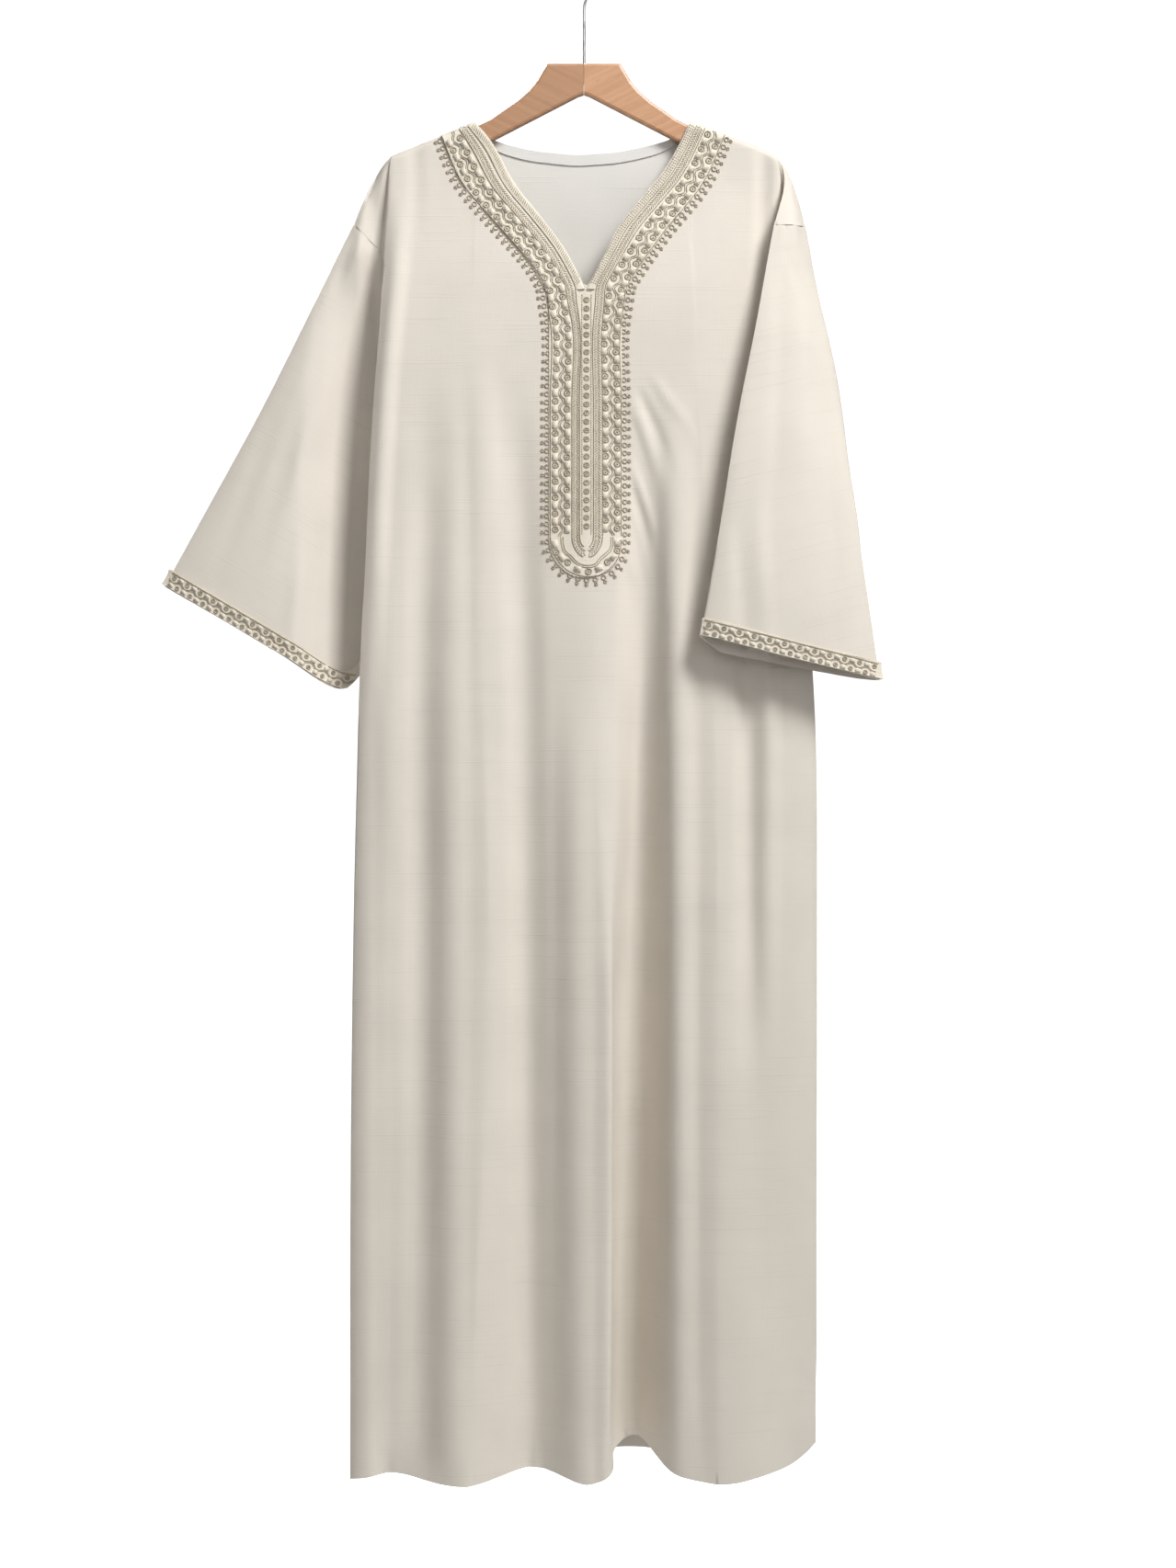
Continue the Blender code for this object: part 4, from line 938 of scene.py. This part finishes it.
def make_picot(loop, knot, reach):
    """A loop beside the edge line and a tighter one beyond it."""
    bm = bmesh.new()
    for centre, radius, thread, steps in ((loop - reach / 2, loop, 0.85, 8),
                                          (reach / 2 - knot, knot, 0.95, 6)):
        add_ring(bm, (0, centre), radius - thread, thread, steps)
    return as_shape(bm, "picot", ROSETTE)


def make_stitch(length, width, height):
    """One short run of thread, thick in the middle."""
    bm = bmesh.new()
    bmesh.ops.create_uvsphere(bm, u_segments=6, v_segments=4, radius=MM)
    bmesh.ops.rotate(bm, verts=bm.verts, matrix=Matrix.Rotation(math.radians(90), 3, "Y"))
    bmesh.ops.scale(bm, verts=bm.verts, vec=(length / 2, width / 2, height / 2))
    return as_shape(bm, "stitch", STITCH)


def make_window(along, across, height):
    """A low pad of satin stitch with rounded corners."""
    bm = bmesh.new()
    bmesh.ops.create_cube(bm, size=MM)
    bmesh.ops.scale(bm, verts=bm.verts, vec=(along, across, height))
    upright = [e for e in bm.edges if abs(e.verts[0].co.z - e.verts[1].co.z) > MERGE]
    bmesh.ops.bevel(bm, geom=upright, offset=1.3 * MM, segments=2, profile=0.5,
                    affect="EDGES", material=-1)
    pad = as_shape(bm, "window", SATIN)
    pad.shade_flat()
    return pad


rosette = make_rosette(4.0, 0.9)
small_rosette = make_rosette(2.9, 0.85)
chain_ring = make_rosette(3.6, 1.0)
picot = make_picot(3.25, 2.35, 10.6)
short_stitch = make_stitch(4.6, 1.35, 1.1)
long_stitch = make_stitch(6.8, 1.3, 1.1)
dot_stitch = make_stitch(1.9, 1.35, 1.1)
window = make_window(8.4, 6.2, 1.2)
small_window = make_window(6.6, 4.6, 1.1)

# %% [markdown]
# ## Sewing along a path
#
# A path is a smooth line on the garment, drawn in x and drop. To sew along it,
# its points are dropped onto the cloth from the front, or from the back for the
# hidden half of a cuff: a ray finds the spot and the way the cloth faces there. A
# shape is then stamped on that spot, with its own y turned outwards, away from
# the neck.

# %% Paths
PATH_STEP = 2.0
BETWEEN_POINTS = 60


def lengths_along(path):
    """How far along a path each of its points lies."""
    return np.concatenate([[0.0], np.cumsum(np.hypot(*np.diff(path, axis=0).T))])


def points_at(path, at):
    """The points that lie at the given lengths along a path."""
    along = lengths_along(path)
    return np.stack([np.interp(at, along, path[:, k]) for k in (0, 1)], axis=1)


def smooth_path(points):
    """Evenly spaced points on a smooth curve through the given ones."""
    knots = np.array(points, float)
    along = lengths_along(knots)
    slopes = np.gradient(knots, along, axis=0)
    t = np.linspace(0, 1, 24, endpoint=False)[:, None]
    runs = []
    for k, span in enumerate(np.diff(along)):
        runs.append((2 * t ** 3 - 3 * t ** 2 + 1) * knots[k]
                    + (t ** 3 - 2 * t ** 2 + t) * span * slopes[k]
                    + (3 * t ** 2 - 2 * t ** 3) * knots[k + 1]
                    + (t ** 3 - t ** 2) * span * slopes[k + 1])
    dense = np.vstack(runs + [knots[-1:]])
    return points_at(dense, np.arange(0, lengths_along(dense)[-1], PATH_STEP))


def path_length(path):
    """Length of a path."""
    return float(np.hypot(*np.diff(path, axis=0).T).sum())


def between(inner, outer, share):
    """The path that lies a share of the way from one path to the other."""
    near, far = (points_at(path, np.linspace(0, lengths_along(path)[-1], BETWEEN_POINTS))
                 for path in (inner, outer))
    return near + share * (far - near)


def walk(path, side, pitch, start=0.0, end=0.0):
    """Points at an even pitch along a path, each with its outward direction."""
    at = np.arange(start, lengths_along(path)[-1] - end, pitch)
    ahead = points_at(path, at + 1.0) - points_at(path, at - 1.0)
    ahead /= np.hypot(*ahead.T)[:, None]
    outward = side * np.stack([ahead[:, 1], -ahead[:, 0]], axis=1)
    return at, points_at(path, at), outward


# %% Sewing
# A work is what is being sewn, with the surface under it and the side it is seen
# from: 1 is the front, -1 the back
Work = namedtuple("Work", "bm surface way")
BRAID_SLANT, BRAID_PITCH, BRAID_LIFT = 48, 2.75, 0.3
CORD_LIFT = 0.7


def cloth_under(work, x, drop):
    """The spot of cloth at x and drop, and its normal towards who looks at it."""
    hit, normal, _, _ = work.surface.ray_cast(place(x, drop, work.way * 400),
                                              Vector((0, work.way, 0)))
    if hit is not None and normal.y * work.way > 0:
        normal = -normal
    return hit, normal


def add_once(bm, mesh):
    """Adds a mesh that is needed no more to a bmesh."""
    bm.from_mesh(mesh)
    bpy.data.meshes.remove(mesh)


def sew_one(work, shape, point, outward, turn=0.0, lift=0.0):
    """Stamps a shape on the cloth, its own y turned outwards."""
    hit, normal = cloth_under(work, *point)
    if hit is None:
        return
    y = Vector((outward[0], 0, -outward[1]))
    y = (y - normal * y.dot(normal)).normalized()
    axes = Matrix((y.cross(normal), y, normal)).transposed().to_4x4()
    copy = shape.copy()
    copy.transform(Matrix.Translation(hit + normal * lift * MM) @ axes
                   @ Matrix.Rotation(math.radians(turn), 4, "Z"))
    add_once(work.bm, copy)


def sew_row(work, shape, path, side, pitch, shift=0.0, turn=0.0, start=0.0, end=0.0,
            lift=0.0):
    """A row of one shape along a path."""
    _, points, outwards = walk(path, side, pitch, start, end)
    for point, outward in zip(points, outwards):
        sew_one(work, shape, point + shift * outward, outward, turn * side, lift)


def sew_braid(work, path, side, width, start=0.0):
    """Herringbone: two rows of slanted stitches that lean on each other."""
    for way in (-1, 1):
        sew_row(work, short_stitch, path, side, BRAID_PITCH, way * width / 4,
                way * BRAID_SLANT, start + (way + 1) * BRAID_PITCH / 4, lift=BRAID_LIFT)


def sew_cord(work, path, side, radius=0.55, shift=0.0, wave=0.0, length=1.0, phase=0.0,
             start=0.0, end=0.0):
    """A cord laid along a path, or in waves about it."""
    at, points, outwards = walk(path, side, PATH_STEP, start, end)
    offset = shift + wave * np.cos(2 * np.pi * (at - phase) / length)
    places = []
    for point, outward, off in zip(points, outwards, offset):
        hit, normal = cloth_under(work, *(point + off * outward))
        if hit is not None:
            places.append(hit + normal * radius * CORD_LIFT * MM)
    data = bpy.data.curves.new("cord", "CURVE")
    data.dimensions = "3D"
    spline = data.splines.new("POLY")
    spline.points.add(len(places) - 1)
    for corner, spot in zip(spline.points, places):
        corner.co = (*spot, 1.0)
    data.bevel_depth = radius * MM
    data.bevel_resolution = 1
    data.use_fill_caps = True
    holder = bpy.data.objects.new("cord", data)
    add_once(work.bm, bpy.data.meshes.new_from_object(holder))
    bpy.data.objects.remove(holder)
    bpy.data.curves.remove(data)


def finish_embroidery(bm, name):
    """Makes a piece of the sewn shapes, with the four kinds of thread."""
    bmesh.ops.recalc_face_normals(bm, faces=bm.faces)
    piece = finish_piece(bm, name, THREADS[0], [])
    for thread in THREADS[1:]:
        piece.data.materials.append(thread)
    print(name, "faces:", len(piece.data.polygons))
    return piece


# %% [markdown]
# ## Neck and placket embroidery
#
# On each side of the neck the same rows run from the shoulder to the V and on
# down the placket: an edge stitch, a braid between two cords, then rosettes and
# windows by turns on either side of a wavy double cord, and an outer cord with
# picots. They keep step with the wavy cord, so that its waves pass round the
# rosettes.

# %% Rows of the neck and placket
NECK_INNER_RIGHT = smooth_path([(-118.5, 195.5), (-98.1, 218.6), (-74.5, 264), (-48.7, 296),
                                (-23.7, 329.5), (-9.5, 355.5), (1.6, 379)])
NECK_OUTER_RIGHT = smooth_path([(-155, 209.5), (-134, 259), (-98.5, 303), (-77, 327.5),
                                (-57.5, 351), (-43, 375.5), (-40.5, 382)])
NECK_INNER_LEFT = smooth_path([(115, 195.5), (102, 223), (87, 248.5), (59.5, 282),
                               (38.5, 308.5), (21.5, 342), (3.4, 379)])
NECK_OUTER_LEFT = smooth_path([(154, 208), (132, 258), (86, 318), (53, 366), (43.5, 382)])
ROSETTE_PITCH, ROSETTE_AT, WINDOW_AT, MOTIF_LIFT = 17.3, 6.3, 6.7, 0.45
PICOT_PITCH, PICOT_AT, PICOT_LIFT = 8.75, 5.9, 0.5
CORD_PAIR = (-1.15, 1.15)
WAVE_HEIGHT = 2.4
BRAID_WIDTH = 7.0
STITCH_LIFT = 0.35

# A row's share of the neck band's width, then its x on the placket
Row = namedtuple("Row", "share placket_x")
ROWS_RIGHT = {"edge": Row(0.085, -4.4), "inner_cord": Row(0.209, -4.4),
              "braid": Row(0.345, -8.3), "braid_cord": Row(0.458, -12.6),
              "wave": Row(0.715, -24.2), "outer_cord": Row(0.98, -35.9)}
ROWS_LEFT = {"edge": Row(0.095, 10.6), "inner_cord": Row(0.20, 10.6),
             "braid": Row(0.315, 15.2), "braid_cord": Row(0.43, 20.2),
             "wave": Row(0.715, 29.9), "outer_cord": Row(0.98, 40.2)}
PLACKET_ROWS_FROM, ROWS_TO = 415.0, 648.0
MIDDLE_X = 3.6
ROUND_END = [(0.0, 0.0), (0.06, 0.32), (0.32, 0.70), (0.62, 0.92), (1.0, 1.0)]
OUTER_TURN = [(-34.5, 658.5), (-31.0, 667.0), (-26.0, 674.5), (-18.5, 682.0), (-8.0, 687.3),
              (4.0, 689.6), (17.0, 688.0), (27.0, 683.5), (34.5, 674.0), (38.3, 665.0),
              (39.8, 656.0)]
WAVE_TURN = [(-22.7, 655.5), (-20.5, 662.5), (-14.5, 667.5), (-9.0, 673.5), (-2.5, 677.7),
             (5.0, 678.7), (12.5, 677.0), (18.5, 670.0), (25.0, 664.5), (29.5, 659.0),
             (30.5, 651.0)]
TURN_ROSETTES = [(-17.0, 674.0), (5.2, 684.2), (25.5, 674.0), (-29.5, 663.0), (36.0, 661.5)]
TURN_WINDOWS = [((-23.6, 669.2), (-0.75, 0.66)), ((-6.4, 681.4), (-0.3, 0.95)),
                ((16.4, 680.8), (0.35, 0.94)), ((31.6, 668.6), (0.78, 0.63)),
                ((-31.0, 654.5), (-1, 0.1)), ((36.2, 653.0), (1, 0.05))]


def half_row(inner, outer, row):
    """A row from the shoulder to the V, and on down the placket."""
    neck = between(inner, outer, row.share)[:-2:3]
    x = row.placket_x
    joins = (neck[-1][0] + x) / 2
    return smooth_path([*neck, (joins, 394), (x, PLACKET_ROWS_FROM), (x, 500), (x, 580),
                        (x, ROWS_TO)])


chest = Work(bmesh.new(), surface_tree([front, bands["neck_band_right"],
                                        bands["neck_band_left"], bands["placket_band"]]), 1)
HALVES = [(NECK_INNER_RIGHT, NECK_OUTER_RIGHT, ROWS_RIGHT, -1),
          (NECK_INNER_LEFT, NECK_OUTER_LEFT, ROWS_LEFT, 1)]
for inner, outer, rows, side in HALVES:
    rail = {name: half_row(inner, outer, row) for name, row in rows.items()}
    wave_length = path_length(rail["wave"])
    # Rosettes stand in step with the wavy cord, counted back from the lower end
    phase = wave_length % ROSETTE_PITCH
    half_step = phase + ROSETTE_PITCH / 2
    motifs = ((rosette, -ROSETTE_AT, phase), (rosette, ROSETTE_AT, half_step),
              (window, -WINDOW_AT, half_step), (window, WINDOW_AT, phase))
    for shape, shift, start in motifs:
        start %= ROSETTE_PITCH
        sew_row(chest, shape, rail["wave"], side, ROSETTE_PITCH, shift,
                start=start if start > 4 else start + ROSETTE_PITCH, end=2.0,
                lift=MOTIF_LIFT)
    for shift in CORD_PAIR:
        sew_cord(chest, rail["wave"], side, 0.5, shift, WAVE_HEIGHT, ROSETTE_PITCH, phase,
                 start=1.0)
    for name in ("inner_cord", "braid_cord", "outer_cord"):
        sew_cord(chest, rail[name], side, start=1.0)
    sew_braid(chest, rail["braid"], side, BRAID_WIDTH, start=2.0)
    sew_row(chest, picot, rail["outer_cord"], side, PICOT_PITCH, PICOT_AT, start=5.0,
            lift=PICOT_LIFT)
    edge = between(inner, outer, rows["edge"].share)
    if side < 0:
        sew_row(chest, long_stitch, edge, side, 2.7, turn=62, start=3.0, end=6.0,
                lift=STITCH_LIFT)
    else:
        for shift in (-2.2, 0.0, 2.2):
            sew_row(chest, dot_stitch, edge, side, 2.8, shift, turn=30 * shift, start=3.0,
                    end=6.0, lift=STITCH_LIFT)
    print("half", side, "rows of", round(wave_length), "mm")

# %% Middle and lower end of the placket
middle = smooth_path([(3.1, 386), (3.1, 470), (3.1, 560), (3.1, 646)])
sew_row(chest, chain_ring, middle, 1, 9.4, start=5.0, lift=0.3)
for shift in (-4.9, 4.9):
    sew_row(chest, dot_stitch, middle, 1, 2.6, shift, lift=STITCH_LIFT)


def round_end(x, down_to):
    """A row's last stretch, which turns in to the middle of the placket."""
    top = ROWS_TO - 1
    return smooth_path([(x + (MIDDLE_X - x) * across, top + (down_to - top) * down)
                        for across, down in ROUND_END])


for rows, side in ((ROWS_RIGHT, -1), (ROWS_LEFT, 1)):
    sew_braid(chest, round_end(rows["braid"].placket_x, 664.5), side, BRAID_WIDTH)
for name, down_to in (("braid_cord", 669.0), ("inner_cord", 658.5)):
    for rows, side in ((ROWS_RIGHT, -1), (ROWS_LEFT, 1)):
        sew_cord(chest, round_end(rows[name].placket_x, down_to), side)
outer_turn = smooth_path([(-35.9, 647), *OUTER_TURN, (40.2, 647)])
wave_turn = smooth_path([(-23.5, 647), *WAVE_TURN, (30.2, 645)])
sew_cord(chest, outer_turn, -1)
for shift in CORD_PAIR:
    sew_cord(chest, wave_turn, -1, 0.45, shift)
for spot in TURN_ROSETTES:
    sew_one(chest, rosette, spot, (0, 1), lift=MOTIF_LIFT)
for spot, outward in TURN_WINDOWS:
    sew_one(chest, window, spot, outward, lift=MOTIF_LIFT)
turn_length = path_length(outer_turn)
turn_pitch = turn_length / round(turn_length / PICOT_PITCH)
sew_row(chest, picot, outer_turn, -1, turn_pitch, PICOT_AT, start=turn_pitch / 2,
        lift=PICOT_LIFT)
chest_embroidery = finish_embroidery(chest.bm, "chest_embroidery")

# %% [markdown]
# ## Cuff embroidery
#
# The cuffs carry the same pattern on a small scale, all the way round: a wavy
# double cord with small rosettes and windows on both sides, a row of stitches at
# the top, and a cord along both edges. Each path below runs along the middle of
# a cuff band, once as seen from the front and once from the back.

# %% Cuff rows
CuffPath = namedtuple("CuffPath", "band way points")     # way: 1 front, -1 back
CUFF_PATHS = [
    CuffPath("cuff_band_right", 1, [(-451.5, 690.0), (-387.5, 727.3), (-323.5, 765.0),
                                    (-259.5, 801.0), (-246.0, 803.0)]),
    CuffPath("cuff_band_right", -1, [(-451.5, 690.0), (-387.5, 722.5), (-323.5, 758.0),
                                     (-254.0, 785.0)]),
    CuffPath("cuff_band_left", 1, [(126.5, 746.0), (222.0, 770.0), (315.3, 793.0)]),
    CuffPath("cuff_band_left", -1, [(156.0, 766.0), (190.0, 771.5), (247.0, 782.5),
                                    (293.0, 791.0), (315.0, 793.0)]),
]
CUFF_PITCH = 16.6
HEMWARDS = -1       # the side of a cuff's path that a shift leads to
# Shape, shift from the middle, start along the path, lift
CUFF_ROWS = [(small_rosette, -4.3, 6.0, 0.4), (small_rosette, 4.3, 14.3, 0.4),
             (small_window, -4.6, 14.3, 0.35), (small_window, 4.6, 6.0, 0.35)]
cuff_bms = {band: bmesh.new() for band in ("cuff_band_right", "cuff_band_left")}
for cuff in CUFF_PATHS:
    work = Work(cuff_bms[cuff.band], surface_tree([bands[cuff.band]]), cuff.way)
    path = smooth_path(cuff.points)
    for shift in (-0.8, 0.8):
        sew_cord(work, path, HEMWARDS, 0.4, shift, 1.9, CUFF_PITCH, 6.0, start=1.0, end=1.0)
    for shape, shift, start, lift in CUFF_ROWS:
        sew_row(work, shape, path, HEMWARDS, CUFF_PITCH, shift, start=start, end=4.0,
                lift=lift)
    sew_row(work, dot_stitch, path, HEMWARDS, 2.3, -8.6, turn=82, start=1.0, end=1.0,
            lift=0.3)
    for shift in (-8.0, 8.5):
        sew_cord(work, path, HEMWARDS, 0.5, shift, start=1.0, end=1.0)
cuff_embroidery = {band: finish_embroidery(bm, band.replace("band", "embroidery"))
                   for band, bm in cuff_bms.items()}

# %% [markdown]
# ## Wood and wire
#
# The hanger is two halves of pale beech under a thin clear coat, with a bright
# steel hook. Wood grain is noise stretched far along the arm. Fine pores are a
# second, shorter noise. The grain group is turned to follow each half. The
# solids keep their shape, and only get these finishes.

# %% Grain group and wood
# Noise scales along the arm, through it and across it
BANDS_SCALE, PORES_SCALE = (5.0, 160.0, 160.0), (90.0, 1500.0, 1500.0)
BEECH_LIGHT, BEECH_DARK = (0.58, 0.325, 0.185), (0.47, 0.25, 0.135)
PORE_COLOR, PORE_SHARE, PORE_RISE = (0.33, 0.165, 0.085), 0.35, 0.1 * MM
ARM_SLOPE = math.radians(26)


def make_grain_group():
    """Long bands of grain and short pores, both as masks."""
    group, ends, result = new_group("wood_grain", [("Vector", "NodeSocketVector", None)],
                                    [("Bands", "NodeSocketFloat"),
                                     ("Pores", "NodeSocketFloat")])
    vector = ends.outputs["Vector"]
    long_bands = noise(group, mapped(group, vector, BANDS_SCALE), 1.0, 3.0)
    pores = noise(group, mapped(group, vector, PORES_SCALE), 1.0, 1.0)
    group.links.new(remap(group, long_bands, 0.3, 0.7), result.inputs["Bands"])
    group.links.new(remap(group, pores, 0.62, 0.75), result.inputs["Pores"])
    return group


grain = make_grain_group()


def wood_material(name, turn, tone):
    """Pale beech with a clear coat, its grain turned along the arm."""
    material, tree, shader = new_material(name, Roughness=0.42, Specular_IOR_Level=0.4,
                                          Coat_Weight=0.25, Coat_Roughness=0.3)
    coordinates = add_node(tree, "ShaderNodeTexCoord").outputs["Object"]
    group = add_node(tree, "ShaderNodeGroup", node_tree=grain)
    tree.links.new(mapped(tree, coordinates, (1, 1, 1), turn), group.inputs["Vector"])
    # tone scales the beech: below 1 it is painted shade, above 1 painted light
    light, dark = (tuple(tone * part for part in shade) for shade in (BEECH_LIGHT, BEECH_DARK))
    color = mix_colors(tree, group.outputs["Bands"], light, dark)
    share = calculate(tree, "MULTIPLY", group.outputs["Pores"], PORE_SHARE)
    color = mix_colors(tree, share, color, PORE_COLOR)
    tree.links.new(color, shader.inputs["Base Color"])
    tree.links.new(bump(tree, group.outputs["Pores"], PORE_RISE, 0.4), shader.inputs["Normal"])
    return material


def dress(node, material):
    """Gives a solid that keeps its shape its finish."""
    for material_slot in nodes[node].material_slots:
        material_slot.material = material


# The two halves are lit and shaded copies of one beech: the half on the wearer's right, away
# from the key lamp, is painted darker as shade, and the other half is painted lighter as light
for node, turn, tone in (("hanger_half_right", -ARM_SLOPE, 0.88),
                         ("hanger_half_left", ARM_SLOPE, 1.1)):
    dress(node, wood_material(node.replace("hanger", "beech"), turn, tone))

# %% Steel wire
steel, steel_tree, steel_shader = new_material("steel_wire", Metallic=1.0,
                                               Specular_IOR_Level=0.5)
steel_at = add_node(steel_tree, "ShaderNodeTexCoord").outputs["Object"]
drawn = noise(steel_tree, mapped(steel_tree, steel_at, (900.0, 900.0, 60.0)), 1.0, 2.0)
steel_tree.links.new(mix_colors(steel_tree, drawn, (0.82, 0.82, 0.81), (0.72, 0.72, 0.71)),
                     steel_shader.inputs["Base Color"])
steel_tree.links.new(remap(steel_tree, drawn, 0.3, 0.7, 0.22, 0.38),
                     steel_shader.inputs["Roughness"])
dress("hanger_hook", steel)
print("hanger dressed")

# %% [markdown]
# ## Cut sizes
#
# Each piece of cloth was a flat cut before it was sewn and hung. Its width and
# length are declared here, all round where it is a tube, with the flat area
# where the cut tapers or curves. Half of the made surface, which has two skins,
# should come close to that area.

Cut = namedtuple("Cut", "piece width length area held on carries")
HANGER = ["hanger_half_right", "hanger_half_left"]
CUTS = [
    Cut(front, 0.62, 1.49, 0.79, "hung", HANGER, [chest_embroidery]),
    Cut(back, 0.62, 1.50, 0.78, "hung", HANGER, []),
    Cut(sleeve_right, 0.50, 0.50, 0.148, "hung", [front, back], []),
    Cut(sleeve_left, 0.49, 0.49, 0.142, "hung", [front, back], []),
    Cut(bands["placket_band"], 0.081, 0.31, 0.0240, "hung", [front], []),
    Cut(bands["neck_band_right"], 0.047, 0.24, 0.0097, "hung", [front], []),
    Cut(bands["neck_band_left"], 0.047, 0.23, 0.0093, "hung", [front], []),
    Cut(bands["cuff_band_right"], 0.020, 0.50, 0.0098, "hung", [sleeve_right],
        [cuff_embroidery["cuff_band_right"]]),
    Cut(bands["cuff_band_left"], 0.020, 0.42, 0.0080, "hung", [sleeve_left],
        [cuff_embroidery["cuff_band_left"]]),
    Cut(binding, 0.022, 0.26, 0.0053, "hung", [back], []),
]
for cut in CUTS:
    made = sum(face.area for face in cut.piece.data.polygons) / 2
    print(cut.piece.name, "cut", cut.area, "m2, made", round(made, 4), "m2")

# %% Print the box sizes and finish
made_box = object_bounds()
for label, (low, high) in (("CAD", cad_box), ("scene", made_box)):
    print(label, "box, mm:", [round(v / MM, 1) for v in low], [round(v / MM, 1) for v in high])
